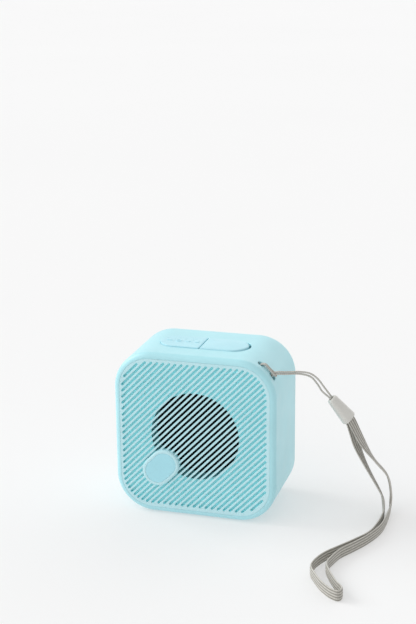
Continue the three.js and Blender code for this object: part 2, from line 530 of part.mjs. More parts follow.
function buildTopStrip() {
  const r = STRIP.w / 2 - STRIP_FIT;
  const quarter = Math.PI / 2;
  const padLeft = STRIP.xLeft + STRIP_FIT;
  const zPad = Z_TOP + PAD_PROUD;
  const padShape = new THREE.Shape();
  padShape.moveTo(PAD_RIGHT, STRIP.y - r);
  padShape.lineTo(PAD_RIGHT, STRIP.y + r);
  padShape.absarc(padLeft + r, STRIP.y, r, quarter, 3 * quarter, false);
  let pad = toSolid(topPlate(padShape, Z_POCKET + GAP, zPad));
  KEY_XS.forEach((x, i) => {
    pad = pad.subtract(toSolid(topPlate(keyOutline(x, GAP), Z_POCKET - 1, zPad + 1, 5)));
    const cap = toSolid(topPlate(keyOutline(x, 0), Z_POCKET + 0.7, zPad, 5));
    const stem = toSolid(cylinderZ(0.9, Z_TOP - 4.1, Z_POCKET + 1, x, STRIP.y, 12));
    const symbol = keySymbol(KEY_NAMES[i], x, zPad - 0.3, zPad + 0.18);
    addPart(`key_${KEY_NAMES[i]}`, cap.add(stem).add(symbol), MATERIALS.silicone);
    addPart(`tact_plunger_${KEY_NAMES[i]}`, cylinderZ(0.8, Z_TOP - 5.4, Z_TOP - 4.4, x, STRIP.y, 12), MATERIALS.blackPlastic);
    const can = toSolid(box(x - 1.7, x + 1.7, STRIP.y - 1.7, STRIP.y + 1.7, Z_TOP - 6.3, Z_TOP - 4.9));
    const well = toSolid(cylinderZ(1.15, Z_TOP - 6.0, Z_TOP - 4, x, STRIP.y, 12));
    addPart(`tact_switch_${KEY_NAMES[i]}`, can.subtract(well), MATERIALS.steel);
  });
  addPart('control_pad', pad, MATERIALS.silicone);
  addPart('key_board', box(-19.5, -1.2, STRIP.y - 5, STRIP.y + 5, Z_TOP - 7.6, Z_TOP - 6.6), MATERIALS.board);

  // Port flap: a slightly crowned lid, thinner than the pocket is deep, with a thick rim to grip
  const flapShape = new THREE.Shape();
  flapShape.moveTo(FLAP_LEFT, STRIP.y + r);
  flapShape.lineTo(FLAP_LEFT, STRIP.y - r);
  flapShape.absarc(FLAP_RIGHT - r, STRIP.y, r, -quarter, quarter, false);
  let flap = toSolid(topPlate(flapShape, Z_TOP + FLAP_PROUD - FLAP_T, Z_TOP + FLAP_PROUD));
  const plugTop = Z_TOP + FLAP_PROUD - FLAP_T + 0.5;
  const plugBottom = Z_POCKET + 0.5;
  flap = flap.add(toSolid(topPlate(roundedRect(8.6, 2.6, 1.2, USB.x + 0.4, STRIP.y), plugBottom, plugTop, 2)));
  flap = flap.add(toSolid(cylinderZ(1.9, plugBottom, plugTop, JACK.x, STRIP.y, 16)));
  addPart('port_flap', flap, MATERIALS.silicone);
  addPart('flap_tether', box(
    TETHER.x0, TETHER.x1, STRIP.y - TETHER.half, STRIP.y + TETHER.half, Z_DECK - 0.8, Z_POCKET + 0.9), MATERIALS.silicone);

  const usbTop = Z_DECK - GAP;
  const shellUsb = toSolid(topPlate(roundedRect(USB.w, USB.d, 1.4, USB.x, STRIP.y), USB.z0 + 1.2, Z_POCKET - 0.2, 3));
  const mouthUsb = toSolid(topPlate(roundedRect(USB.w - 0.8, USB.d - 0.8, 1.1, USB.x, STRIP.y), USB.z0 + 2, Z_POCKET + 1, 3));
  const tongue = toSolid(box(USB.x - 3, USB.x + 3, STRIP.y - 0.35, STRIP.y + 0.35, USB.z0 + 1.5, usbTop));
  addPart('charge_port', shellUsb.subtract(mouthUsb).add(tongue), MATERIALS.steel);
  const jackBody = toSolid(box(
    JACK.x - JACK.w / 2, JACK.x + JACK.w / 2, STRIP.y - JACK.d / 2, STRIP.y + JACK.d / 2, JACK.z0 + 2.2, usbTop));
  const nose = toSolid(cylinderZ(2.3, usbTop - 0.5, Z_POCKET - 0.2, JACK.x, STRIP.y));
  const bore = toSolid(cylinderZ(1.75, JACK.z0 + 3.4, Z_POCKET + 1, JACK.x, STRIP.y));
  addPart('audio_jack', jackBody.add(nose).subtract(bore), MATERIALS.blackPlastic);
  addPart('port_board', box(0.2, 19, STRIP.y - 5, STRIP.y + 5, USB.z0 - 0.1, USB.z0 + 0.9), MATERIALS.board);
}

// ---------------------------------------------------------------- screws, feet and leads
function buildFasteners() {
  POST_XZ.forEach(([x, z], i) => screw(x, z, -6 + GAP + SCREW.headT, 11, `housing_screw_${i + 1}`));
  FOOT.ys.forEach((y, i) => {
    addPart(`foot_${i + 1}`, topPlate(stadium(FOOT.half, FOOT.r, 0, 0, y), 0, Z_BOTTOM + 0.4, 4), MATERIALS.footPad);
  });
}

function buildLeads(driver) {
  const lead = 1.0;
  const yTerminal = driver.yf + 2.2 + GAP;
  for (const [name, dx, material] of [['red', 1.6, MATERIALS.redWire], ['black', -1.6, MATERIALS.blackWire]]) {
    addPart(`speaker_lead_${name}`, tube([
      [dx, yTerminal, DRIVER_Z - 20], [dx * 1.2, yTerminal + 4, DRIVER_Z - 20.2], [9 + dx, 4, DRIVER_Z - 19.2],
      [17.5 + dx, 7.6, DRIVER_Z - 12], [18 + dx, 9, DRIVER_Z - 4], [14.5 + dx, 9.6, 41], [12.6 + dx, 10.1, 42.5],
      [12.4 + dx, Y_BOARD - GAP, 43.5],
    ], lead, 16), material);
    addPart(`battery_lead_${name}`, tube([
      [-14 + dx, 13.4, BATTERY.z1 + GAP], [-14 + dx, 13.0, BATTERY.z1 + 1.7], [-14.2 + dx, 11.2, BATTERY.z1 + 3.2],
      [-14.4 + dx, 10.1, BATTERY.z1 + 4.4], [-14.5 + dx * 0.9, 10.3, BATTERY.z1 + 5.4],
      [-14.5 + dx * 0.9, Y_BOARD - GAP, BATTERY.z1 + 6],
    ], lead, 10), material);
  }
}

// ---------------------------------------------------------------- wrist strap
// Points of the cord's loop near the strap bar, given by angle, radius and depth.
const STRAND = 0.45;
function atCorner(angle, rho, y) {
  const [x, z] = cornerPoint(angle, rho);
  return [x, y, z];
}

// One strand, from the bead to the crown of the hitch; side is -1 for the front strand, 1 for the back.
// The standing part goes in at the lower slot, behind the bar, out of the upper slot and back over the bar.
function strandRoute(side, hang, entryAngle) {
  const y = STRAP_Y + side * STRAND;
  return [
    ...hang,
    atCorner(entryAngle, 17.4, STRAP_Y + side * 0.1),
    atCorner(entryAngle, 15.9, STRAP_Y + side * 0.15),
    atCorner(entryAngle + 1.5, 14.3, STRAP_Y + side * 0.35),
    atCorner(42.5, 13.7, y),
    atCorner(50.5, 13.7, y),
    atCorner(56.7, 14.5, y),
    atCorner(57.4, 16.0, y),
    atCorner(53, 17.05, y),
    atCorner(45, 17.0, y),
    atCorner(38, 17.1, STRAP_Y + side * 0.85),
    atCorner(34, 17.3, STRAP_Y + side * 0.95),
  ];
}

const HANG_UPPER = [
  [55.8, -3.6, 52.05], [54.47, -4.24, 53.94], [51.87, -5.86, 58.19], [49.42, -6.99, 61.88],
  [46.6, -8.3, 64.4], [42.5, -10.17, 65.45], [37.0, -12.7, 65.7], [34.6, -13.9, 65.95],
];
const HANG_LOWER = [
  [55.42, -4.37, 51.53], [54.05, -5.0, 53.42], [51.2, -6.01, 56.24], [49.15, -6.98, 59.8],
  [46.7, -8.25, 63.0], [42.52, -10.17, 64.55], [37.0, -12.7, 64.85], [34.9, -13.9, 65.1],
];

function cordRoute() {
  const lower = strandRoute(-1, HANG_LOWER, 33.9);
  const upper = strandRoute(1, HANG_UPPER, 36.5);
  return [...lower, atCorner(31.2, 17.35, STRAP_Y), ...upper.reverse()];
}

// Centre line of the webbing loop, with the heading and the tilt of its flat width in degrees.
const WEB_ROUTE = [
  [59.6, -1.7, 45.7, -116, -31], [61.4, -0.8, 43.1, -116, -31], [63.3, 0.4, 37.0, -128, -17], [64.6, 0.8, 32.1, -117, -12],
  [66.2, 1.2, 27.8, -101, -10], [68.4, 1.7, 22.9, -87, -8], [71.2, 3.1, 16.8, -78, -7], [75.4, 5.0, 7.6, -73, 4],
  [76.1, 4.5, 4.6, -70, 35], [76.7, 1.9, 2.8, -70, 70], [77.4, -4.1, 2.4, -70, 90], [76.8, -15.1, 2.4, -70, 90],
  [75.0, -24.0, 2.4, -70, 90], [70.3, -32.6, 2.4, -70, 90], [65.1, -40.7, 2.4, -70, 90], [61.4, -46.7, 2.4, -70, 90],
  [59.0, -53.7, 2.4, -70, 90], [58.7, -59.4, 2.4, -70, 90], [62.0, -65.9, 2.4, -70, 90], [65.3, -70.9, 2.4, -70, 90],
  [70.0, -75.6, 2.4, -70, 90], [72.9, -76.7, 2.4, -70, 90], [73.7, -73.8, 2.4, -70, 90], [70.4, -68.8, 2.4, -70, 90],
  [66.3, -61.3, 2.4, -70, 90], [64.0, -55.1, 2.4, -70, 90], [65.0, -48.6, 2.4, -70, 90], [66.7, -42.7, 2.4, -70, 90],
  [70.9, -35.1, 2.4, -70, 90], [75.0, -27.0, 2.4, -70, 90], [78.5, -16.2, 2.4, -70, 90], [79.3, -3.9, 2.4, -70, 90],
  [79.1, 4.7, 3.0, -70, 65], [78.9, 6.4, 5.0, -70, 35], [78.9, 6.6, 8.1, -76, 0], [77.3, 5.9, 16.6, -69, -2],
  [72.1, 2.8, 24.6, -64, -8], [67.2, -0.7, 33.8, -106, -19], [62.3, -1.6, 43.6, -116, -31], [60.5, -2.4, 46.1, -116, -31],
];

function direction(heading, tilt) {
  const h = THREE.MathUtils.degToRad(heading);
  const t = THREE.MathUtils.degToRad(tilt);
  return new THREE.Vector3(Math.cos(h) * Math.cos(t), Math.sin(h) * Math.cos(t), Math.sin(t));
}

// The part of a direction that is square to an axis.
function squareTo(axis, vector) {
  return vector.addScaledVector(axis, -vector.dot(axis)).normalize();
}

// A flat band swept along the route.
function band(route, width, thickness, stepsPerPoint) {
  const curve = new THREE.CatmullRomCurve3(
    route.map(([x, y, z]) => new THREE.Vector3(x, y, z)), false, 'centripetal');
  const steps = (route.length - 1) * stepsPerPoint;
  const flat = new THREE.BoxGeometry(width, thickness, 1, 1, 1, steps);
  const position = flat.attributes.position;
  for (let i = 0; i < position.count; i += 1) {
    const t = position.getZ(i) + 0.5;
    const centre = curve.getPoint(t);
    const along = curve.getTangent(t);
    const place = Math.min(t * (route.length - 1), route.length - 1.000001);
    const index = Math.floor(place);
    const heading = THREE.MathUtils.lerp(route[index][3], route[index + 1][3], place - index);
    const tilt = THREE.MathUtils.lerp(route[index][4], route[index + 1][4], place - index);
    const wide = squareTo(along, direction(heading, tilt));
    const thick = new THREE.Vector3().crossVectors(along, wide);
    centre.addScaledVector(wide, position.getX(i)).addScaledVector(thick, position.getY(i));
    position.setXYZ(i, centre.x, centre.y, centre.z);
  }
  return flat;
}

// The bead is a rounded bar that grows wider towards the webbing, with a pocket in each end
const BEAD_START = new THREE.Vector3(54.61, -4.46, 53.21);
const BEAD_END = new THREE.Vector3(61.85, -1.2, 43.35);
const CORD_POCKET = { w: 2.5, t: 1.5, depth: 2.3 };
const WEB_POCKET = { w: WEB_W + 2 * GAP, t: 2.8, depth: 3.6 };

function buildBead() {
  const axis = BEAD_END.clone().sub(BEAD_START);
  const length = axis.length();
  axis.normalize();
  const wide = squareTo(axis, direction(BEAD.heading, BEAD.tilt));
  const thick = new THREE.Vector3().crossVectors(axis, wide);
  // Turn a shape drawn about Z into place; the scale of its section may change along its length.
  function placed(geometry, widthAt, thicknessAt) {
    const position = geometry.attributes.position;
    for (let i = 0; i < position.count; i += 1) {
      const along = position.getZ(i);
      const point = BEAD_START.clone().addScaledVector(axis, along);
      point.addScaledVector(wide, position.getX(i) * widthAt(along / length));
      point.addScaledVector(thick, position.getY(i) * thicknessAt(along / length));
      position.setXYZ(i, point.x, point.y, point.z);
    }
    return toSolid(geometry);
  }
  const same = () => 1;
  const bar = new THREE.ExtrudeGeometry(roundedRect(1, 1, 0.34), {
    depth: length - 1, bevelThickness: 0.5, bevelSize: 0.09, bevelOffset: -0.09, bevelSegments: 2, curveSegments: 3,
  }).translate(0, 0, 0.5);
  const bead = placed(
    bar,
    (t) => THREE.MathUtils.lerp(BEAD.narrowW, BEAD.wideW, t),
    (t) => THREE.MathUtils.lerp(BEAD.narrowT, BEAD.wideT, t),
  );
  const cordPocket = box(
    -CORD_POCKET.w / 2, CORD_POCKET.w / 2, -CORD_POCKET.t / 2, CORD_POCKET.t / 2, -1, CORD_POCKET.depth);
  const webPocket = box(
    -WEB_POCKET.w / 2, WEB_POCKET.w / 2, -WEB_POCKET.t / 2, WEB_POCKET.t / 2, length - WEB_POCKET.depth, length + 1);
  return bead.subtract(placed(cordPocket, same, same)).subtract(placed(webPocket, same, same));
}

function buildStrap() {
  addPart('strap_cord', tube(cordRoute(), CORD_D, CORD_STEPS), MATERIALS.cord);
  addPart('strap_webbing', band(WEB_ROUTE, WEB_W, WEB_T, WEB_STEPS_PER_POINT), MATERIALS.webbing);
  addPart('strap_bead', buildBead(), MATERIALS.bead);
}

// ---------------------------------------------------------------- assembly
addPart('housing', buildHousing(), MATERIALS.shell);
buildPanel();
const driver = buildDriver();
buildTopStrip();
buildElectronics();
buildFasteners();
buildLeads(driver);
buildStrap();

export default speaker;
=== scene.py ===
"""A palm-sized portable wireless speaker with a wrist strap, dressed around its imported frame.

The front faces -Y and the speaker stands on z = 0. Lengths are in metres.
"""

import json
import math

import bmesh
import bpy
from mathutils import Matrix, Vector
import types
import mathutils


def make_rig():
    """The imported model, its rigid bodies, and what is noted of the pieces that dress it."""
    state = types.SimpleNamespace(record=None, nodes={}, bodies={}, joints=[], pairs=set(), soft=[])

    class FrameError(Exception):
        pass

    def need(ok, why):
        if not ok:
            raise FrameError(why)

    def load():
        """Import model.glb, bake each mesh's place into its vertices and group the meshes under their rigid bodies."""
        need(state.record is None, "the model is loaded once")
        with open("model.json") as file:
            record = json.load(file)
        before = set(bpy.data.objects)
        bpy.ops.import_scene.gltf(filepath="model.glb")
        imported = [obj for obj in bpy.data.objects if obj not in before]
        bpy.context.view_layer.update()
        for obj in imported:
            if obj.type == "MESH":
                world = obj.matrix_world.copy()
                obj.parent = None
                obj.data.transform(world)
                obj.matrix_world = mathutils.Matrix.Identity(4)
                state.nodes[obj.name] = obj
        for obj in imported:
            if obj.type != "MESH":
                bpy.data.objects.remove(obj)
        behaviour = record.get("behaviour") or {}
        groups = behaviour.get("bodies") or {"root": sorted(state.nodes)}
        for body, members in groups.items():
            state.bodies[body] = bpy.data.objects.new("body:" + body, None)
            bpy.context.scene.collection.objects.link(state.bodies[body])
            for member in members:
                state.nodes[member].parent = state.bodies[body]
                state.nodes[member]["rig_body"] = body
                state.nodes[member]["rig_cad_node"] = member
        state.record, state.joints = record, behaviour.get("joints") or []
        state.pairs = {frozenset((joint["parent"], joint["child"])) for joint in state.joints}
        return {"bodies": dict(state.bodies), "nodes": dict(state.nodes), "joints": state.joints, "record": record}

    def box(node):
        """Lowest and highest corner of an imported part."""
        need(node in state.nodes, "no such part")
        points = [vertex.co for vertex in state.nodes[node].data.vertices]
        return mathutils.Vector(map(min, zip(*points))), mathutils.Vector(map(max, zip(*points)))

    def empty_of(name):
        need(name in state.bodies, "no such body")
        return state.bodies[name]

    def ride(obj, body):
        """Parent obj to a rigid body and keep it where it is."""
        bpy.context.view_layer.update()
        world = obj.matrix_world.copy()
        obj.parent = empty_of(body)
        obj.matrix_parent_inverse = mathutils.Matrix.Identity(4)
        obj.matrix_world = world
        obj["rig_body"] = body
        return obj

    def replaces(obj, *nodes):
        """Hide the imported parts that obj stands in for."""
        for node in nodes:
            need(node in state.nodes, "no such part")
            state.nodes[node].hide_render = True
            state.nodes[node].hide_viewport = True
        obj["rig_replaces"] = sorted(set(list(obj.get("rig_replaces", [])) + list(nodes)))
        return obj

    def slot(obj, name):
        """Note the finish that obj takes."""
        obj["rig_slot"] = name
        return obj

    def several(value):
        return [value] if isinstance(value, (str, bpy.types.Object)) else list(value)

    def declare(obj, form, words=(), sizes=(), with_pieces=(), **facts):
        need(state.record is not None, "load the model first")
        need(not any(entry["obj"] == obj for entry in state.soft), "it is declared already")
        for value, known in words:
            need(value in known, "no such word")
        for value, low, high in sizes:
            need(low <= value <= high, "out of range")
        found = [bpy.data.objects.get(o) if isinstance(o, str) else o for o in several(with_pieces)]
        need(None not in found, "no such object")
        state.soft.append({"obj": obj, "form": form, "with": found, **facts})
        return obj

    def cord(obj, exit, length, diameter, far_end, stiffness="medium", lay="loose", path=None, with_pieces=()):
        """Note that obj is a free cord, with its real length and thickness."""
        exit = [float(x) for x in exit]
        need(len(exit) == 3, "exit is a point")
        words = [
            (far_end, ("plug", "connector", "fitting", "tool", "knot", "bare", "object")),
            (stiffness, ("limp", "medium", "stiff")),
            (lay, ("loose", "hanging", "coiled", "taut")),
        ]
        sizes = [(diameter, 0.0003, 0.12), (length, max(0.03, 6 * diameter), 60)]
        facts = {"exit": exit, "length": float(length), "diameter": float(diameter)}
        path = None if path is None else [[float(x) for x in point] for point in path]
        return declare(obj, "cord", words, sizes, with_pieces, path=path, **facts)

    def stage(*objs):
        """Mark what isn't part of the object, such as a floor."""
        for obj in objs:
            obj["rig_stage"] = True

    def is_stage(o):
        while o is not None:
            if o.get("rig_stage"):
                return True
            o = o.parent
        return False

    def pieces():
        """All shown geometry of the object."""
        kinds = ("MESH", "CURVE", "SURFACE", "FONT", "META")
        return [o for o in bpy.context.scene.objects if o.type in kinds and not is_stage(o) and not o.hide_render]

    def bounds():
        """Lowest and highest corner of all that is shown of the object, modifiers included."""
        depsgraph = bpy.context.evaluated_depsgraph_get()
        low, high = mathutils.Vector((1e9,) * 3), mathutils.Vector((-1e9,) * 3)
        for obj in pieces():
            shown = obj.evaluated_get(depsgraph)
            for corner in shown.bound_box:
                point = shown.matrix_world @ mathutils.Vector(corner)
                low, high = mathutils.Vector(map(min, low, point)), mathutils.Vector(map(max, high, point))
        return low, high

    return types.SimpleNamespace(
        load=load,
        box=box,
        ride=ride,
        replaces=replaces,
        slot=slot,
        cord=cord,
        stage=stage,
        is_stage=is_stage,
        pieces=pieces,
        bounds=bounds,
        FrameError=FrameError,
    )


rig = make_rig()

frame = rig.load()
cad_box = [list(corner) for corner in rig.bounds()]

MM = 0.001

# ---------------------------------------------------------------- sizes, from the frame and the CAD part
shell_low, shell_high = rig.box("housing")
WIDTH = shell_high.x - shell_low.x
HEIGHT = shell_high.z - shell_low.z
Y_FRONT, Y_BACK = shell_low.y, shell_high.y
Z_BOTTOM, Z_TOP = shell_low.z, shell_high.z
Z_MID = (Z_BOTTOM + Z_TOP) / 2
CORNER_R = 16.2 * MM
FRONT_EDGE_R = 2.3 * MM
BACK_EDGE_R = 6.6 * MM
WALL = 2.4 * MM
SEAM = 0.035 * MM  # the fine line between two parts that close on each other

PANEL_T = 2.4 * MM
SLAT_T = 1.3 * MM
SLOT_ANGLE = math.radians(45.6)
SLOT_PITCH = 1.885 * MM
SLOT_OFFSET = -0.81 * MM
SLOTS_EACH_SIDE = 21
SLOT_W = 1.0 * MM
SLOT_DEPTH = 1.5 * MM
SLOT_FILLET = 0.12 * MM
SLOT_FIELD = (63.05 * MM, 63.8 * MM, 12.3 * MM)
SLOT_FIELD_X, SLOT_FIELD_Z = -0.27 * MM, 0.1 * MM
DRIVER_Z = Z_MID
OPENING_R = 19.1 * MM
TUBE_WALL = 1.6 * MM
TUBE_DEPTH = 9.2 * MM

BADGE_X, BADGE_Z = -14.7 * MM, Z_MID - 14.8 * MM
BADGE_HALF = 2.35 * MM
BOSS_R = 6.55 * MM
PLATE_R = 5.0 * MM
BADGE_PROUD = 1.0 * MM
BADGE_SLOPE = 0.9 * MM
BADGE_RECESS = 0.75 * MM

STRIP_LEFT, STRIP_RIGHT = -19.8 * MM, 19.8 * MM
STRIP_Y = -2.4 * MM
STRIP_W = 14.8 * MM
POCKET_DEPTH = 2.6 * MM
DECK_T = 1.2 * MM
STRIP_FIT = 0.09 * MM
KEY_SEAM = 0.015 * MM
KEY_W, KEY_LONG = 2.9 * MM, 8.0 * MM
KEYS = {"minus": -15.9 * MM, "play": -11.7 * MM, "plus": -7.6 * MM, "mode": -3.7 * MM}

STRAP_Y = -14.8 * MM
SLOT_HALF_Y = 1.5 * MM
HOLE_ANGLES = (27, 63)
BAR_ANGLES = (39.5, 53)
BAR_T = 1.6 * MM
STRAP_POCKET_DEPTH = CORNER_R - 12.6 * MM
STRAP_POCKET_WALL = 1.4 * MM

CORD_D = 0.8 * MM
WEB_W = 4.5 * MM
WEB_T = 0.9 * MM
WEB_RIBS = 4

SCREW_XZ = [(x * MM, z * MM) for z in (12.4, 59.6) for x in (-23, 23)]

# The studio: where each broad glow comes from and its strength, then the same for the window
GLOWS = [
    ((-0.7, -0.6, 0.4), 0.7),
    ((-0.15, -0.6, 0.8), 0.86),
    ((0, 0.95, 0.25), 1.0),
    ((0.75, 0.65, 0.15), 0.72),
]
WINDOW_FROM = (-0.87, 0.06, 0.5)
WINDOW_STRENGTH = 1.4
WINDOW_WIDTH = math.radians(34)
FLOOR_REACH = 40
FLOOR_DARK, FLOOR_PALE = (0.508, 0.508, 0.508), (0.518, 0.518, 0.518)
FLOOR_GLOW = 0.392


# ---------------------------------------------------------------- camera, at the height and angle of the view
CAMERA_AT = (0.1582, -0.5250, 0.2479)
CAMERA_TURN = (16.72, 16.56, -0.59)  # azimuth, elevation and roll in degrees
CAMERA_LENS = 78.46


def make_camera():
    azimuth, elevation, roll = (math.radians(a) for a in CAMERA_TURN)
    right = Vector((math.cos(azimuth), math.sin(azimuth), 0))
    back = Vector((
        math.sin(azimuth) * math.cos(elevation),
        -math.cos(azimuth) * math.cos(elevation),
        math.sin(elevation),
    ))
    up = back.cross(right)
    level = Matrix((right, up, back)).transposed()
    camera = bpy.data.objects.new("camera", bpy.data.cameras.new("camera"))
    camera.data.sensor_width = 36
    camera.data.lens = CAMERA_LENS
    camera.data.clip_start = 0.02
    camera.matrix_world = Matrix.Translation(CAMERA_AT) @ (
        level @ Matrix.Rotation(roll, 3, "Z")
    ).to_4x4()
    bpy.context.scene.collection.objects.link(camera)
    bpy.context.scene.camera = camera


make_camera()


# ---------------------------------------------------------------- mesh helpers
def new_object(name, vertices, faces):
    mesh = bpy.data.meshes.new(name)
    mesh.from_pydata([tuple(v) for v in vertices], [], faces)
    work = bmesh.new()
    work.from_mesh(mesh)
    bmesh.ops.recalc_face_normals(work, faces=work.faces)
    work.to_mesh(mesh)
    work.free()
    obj = bpy.data.objects.new(name, mesh)
    bpy.context.scene.collection.objects.link(obj)
    return obj


def loft(name, rings):
    """A solid through rings of equally many points, with its ends filled."""
    count = len(rings[0])
    faces = []
    for i in range(len(rings) - 1):
        a, b = i * count, (i + 1) * count
        for j in range(count):
            k = (j + 1) % count
            faces.append((a + j, a + k, b + k, b + j))
    last = (len(rings) - 1) * count
    faces += [tuple(reversed(range(count))), tuple(range(last, last + count))]
    return new_object(name, [p for ring in rings for p in ring], faces)


def settle(obj):
    """Applies the modifiers."""
    mesh = bpy.data.meshes.new_from_object(obj.evaluated_get(bpy.context.evaluated_depsgraph_get()))
    obj.modifiers.clear()
    obj.data = mesh


def combine(obj, operation, *others):
    """Joins other solids to obj or cuts them out of it, and uses them up."""
    for other in others:
        modifier = obj.modifiers.new(operation, "BOOLEAN")
        modifier.operation = operation
        modifier.solver = "MANIFOLD"
        modifier.object = other
        settle(obj)
        bpy.data.objects.remove(other)


def cut(obj, *others):
    combine(obj, "DIFFERENCE", *others)


def join(obj, *others):
    combine(obj, "UNION", *others)


def gather(name, objects):
    """One object from several solids that don't touch."""
    work = bmesh.new()
    for o in objects:
        work.from_mesh(o.data)
        bpy.data.objects.remove(o)
    mesh = bpy.data.meshes.new(name)
    work.to_mesh(mesh)
    work.free()
    obj = bpy.data.objects.new(name, mesh)
    bpy.context.scene.collection.objects.link(obj)
    return obj


def smooth(obj, angle=40):
    """Smooth shading up to that angle between faces, with flat faces kept flat."""
    mesh = obj.data
    mesh.polygons.foreach_set("use_smooth", [True] * len(mesh.polygons))
    mesh.set_sharp_from_angle(angle=math.radians(angle))
    weighted = obj.modifiers.new("weighted_normals", "WEIGHTED_NORMAL")
    weighted.keep_sharp = True


def dress(obj, material, body, slot, *nodes):
    """Gives a finished piece its material, body and record slot, and the CAD nodes that it stands for."""
    obj.data.materials.clear()
    obj.data.materials.append(material)
    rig.ride(obj, body)
    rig.slot(obj, slot)
    if nodes:
        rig.replaces(obj, *nodes)
    return obj


# ---------------------------------------------------------------- outlines in a plane, and where they go
def rounded_rect(w, h, r, grow=0.0, steps=16):
    w, h, r = w + 2 * grow, h + 2 * grow, max(r + grow, 0.02 * MM)
    points = []
    for quarter in range(4):
        cu = (w / 2 - r) * (1 if quarter in (0, 3) else -1)
        cv = (h / 2 - r) * (1 if quarter in (0, 1) else -1)
        for i in range(steps + 1):
            a = (quarter + i / steps) * math.pi / 2
            points.append((cu + r * math.cos(a), cv + r * math.sin(a)))
    return points


def stadium(half, r, angle=0.0, u=0.0, v=0.0, steps=10):
    points = []
    for end in (0, 1):
        cu = u + (1 - 2 * end) * half * math.cos(angle)
        cv = v + (1 - 2 * end) * half * math.sin(angle)
        for i in range(steps + 1):
            a = angle + (end + i / steps - 0.5) * math.pi
            points.append((cu + r * math.cos(a), cv + r * math.sin(a)))
    return points


def circle(r, u=0.0, v=0.0, steps=96):
    return [(u + r * math.cos(2 * math.pi * i / steps), v + r * math.sin(2 * math.pi * i / steps))
            for i in range(steps)]


def on_front(points, below):
    return [Vector((x, Y_FRONT + below, z)) for x, z in points]


def on_top(points, below):
    return [Vector((x, y, Z_TOP - below)) for x, y in points]


def on_corner(points, below):
    """Points given by arc length and y, wrapped on the top right corner."""
    centre_x, centre_z = WIDTH / 2 - CORNER_R, Z_TOP - CORNER_R
    rho = CORNER_R - below
    return [Vector((centre_x + rho * math.cos(s / CORNER_R), y, centre_z + rho * math.sin(s / CORNER_R)))
            for s, y in points]


def levels(name, outline, place, profile):
    """A solid made level by level: each one is the outline grown by one value, at the depth of the other."""
    return loft(name, [place(outline(grow), below) for grow, below in profile])


def quarter_turn(r, steps=4):
    """A rounded edge: how far in from the side and from the end each point is, beginning on the end."""
    return [(r * (1 - math.sin(i / steps * math.pi / 2)), r * (1 - math.cos(i / steps * math.pi / 2)))
            for i in range(steps + 1)]


def cutter(outline, place, depth, fillet, beyond=1.0 * MM, floor_r=0.1 * MM):
    """Cuts a recess whose mouth is rounded outwards."""
    profile = [(-floor_r, depth), (0, depth - floor_r)]
    for i in range(4):
        a = i / 3 * math.pi / 2
        profile.append((fillet * (1 - math.cos(a)), fillet * (1 - math.sin(a))))
    profile.append((fillet, -beyond))
    return levels("cutter", outline, place, profile)


def plate_profile(bottom, top, edge_r, bottom_r=0.05 * MM, steps=4):
    """From the underside up the side and over a rounded top edge; depths are below the surface."""
    profile = [(-bottom_r, bottom), (0, bottom - bottom_r)]
    for i in range(steps + 1):
        a = i / steps * math.pi / 2
        profile.append((-edge_r * (1 - math.cos(a)), top + edge_r * (1 - math.sin(a))))
    return profile


# ---------------------------------------------------------------- materials
def new_material(name):
    material = bpy.data.materials.new(name)
    material.use_nodes = True
    nodes, links = material.node_tree.nodes, material.node_tree.links
    return material, nodes, links, nodes["Principled BSDF"]


def object_noise(nodes, links, scale, detail=3.0, roughness=0.5):
    where = nodes.new("ShaderNodeTexCoord")
    noise = nodes.new("ShaderNodeTexNoise")
    noise.inputs["Scale"].default_value = scale
    noise.inputs["Detail"].default_value = detail
    noise.inputs["Roughness"].default_value = roughness
    links.new(where.outputs["Object"], noise.inputs["Vector"])
    return noise.outputs["Fac"]


def ranged(nodes, links, value, low, high, from_low=0.3, from_high=0.7):
    node = nodes.new("ShaderNodeMapRange")
    for name, number in (("From Min", from_low), ("From Max", from_high), ("To Min", low), ("To Max", high)):
        node.inputs[name].default_value = number
    links.new(value, node.inputs["Value"])
    return node.outputs["Result"]


def mixed(nodes, links, factor, color_a, color_b):
    node = nodes.new("ShaderNodeMix")
    node.data_type = "RGBA"
    links.new(factor, node.inputs[0])
    node.inputs[6].default_value = (*color_a, 1)
    node.inputs[7].default_value = (*color_b, 1)
    return node.outputs[2]


def add_bump(nodes, links, shader, height, strength, distance):
    bump = nodes.new("ShaderNodeBump")
    bump.inputs["Strength"].default_value = strength
    bump.inputs["Distance"].default_value = distance
    links.new(height, bump.inputs["Height"])
    links.new(bump.outputs["Normal"], shader.inputs["Normal"])


def moulded(name, color, roughness, variation=0.03, grain=2600.0, grain_depth=0.25, sheen=0.0,
            groove_shade=None):
    """Moulded plastic or silicone: a fine grain, small changes of tone and gloss, and, where asked, a painted shade
    colour in deep grooves.
    """
    material, nodes, links, shader = new_material(name)
    cloudy = object_noise(nodes, links, 55.0)
    darker = [c * (1 - variation) for c in color]
    lighter = [min(1, c * (1 + variation)) for c in color]
    tone = mixed(nodes, links, ranged(nodes, links, cloudy, 0, 1), darker, lighter)
    # Painted shade: below the front surface the colour turns to the saturated cyan that shade takes in the grooves.
    if groove_shade:
        split = nodes.new("ShaderNodeSeparateXYZ")
        links.new(nodes.new("ShaderNodeTexCoord").outputs["Object"], split.inputs[0])
        depth = ranged(nodes, links, split.outputs["Y"], 0, 1, Y_FRONT + 0.15 * MM, Y_FRONT + 0.9 * MM)
        groove_shaded = mixed(nodes, links, depth, color, groove_shade)
        links.new(tone, groove_shaded.node.inputs[6])
        tone = groove_shaded
    links.new(tone, shader.inputs["Base Color"])
    handled = object_noise(nodes, links, 140.0, 5.0)
    links.new(ranged(nodes, links, handled, roughness - 0.05, roughness + 0.05), shader.inputs["Roughness"])
    add_bump(nodes, links, shader, object_noise(nodes, links, grain, 2.0), grain_depth, 0.02 * MM)
    shader.inputs["Sheen Weight"].default_value = sheen
    shader.inputs["Sheen Roughness"].default_value = 0.5
    return material


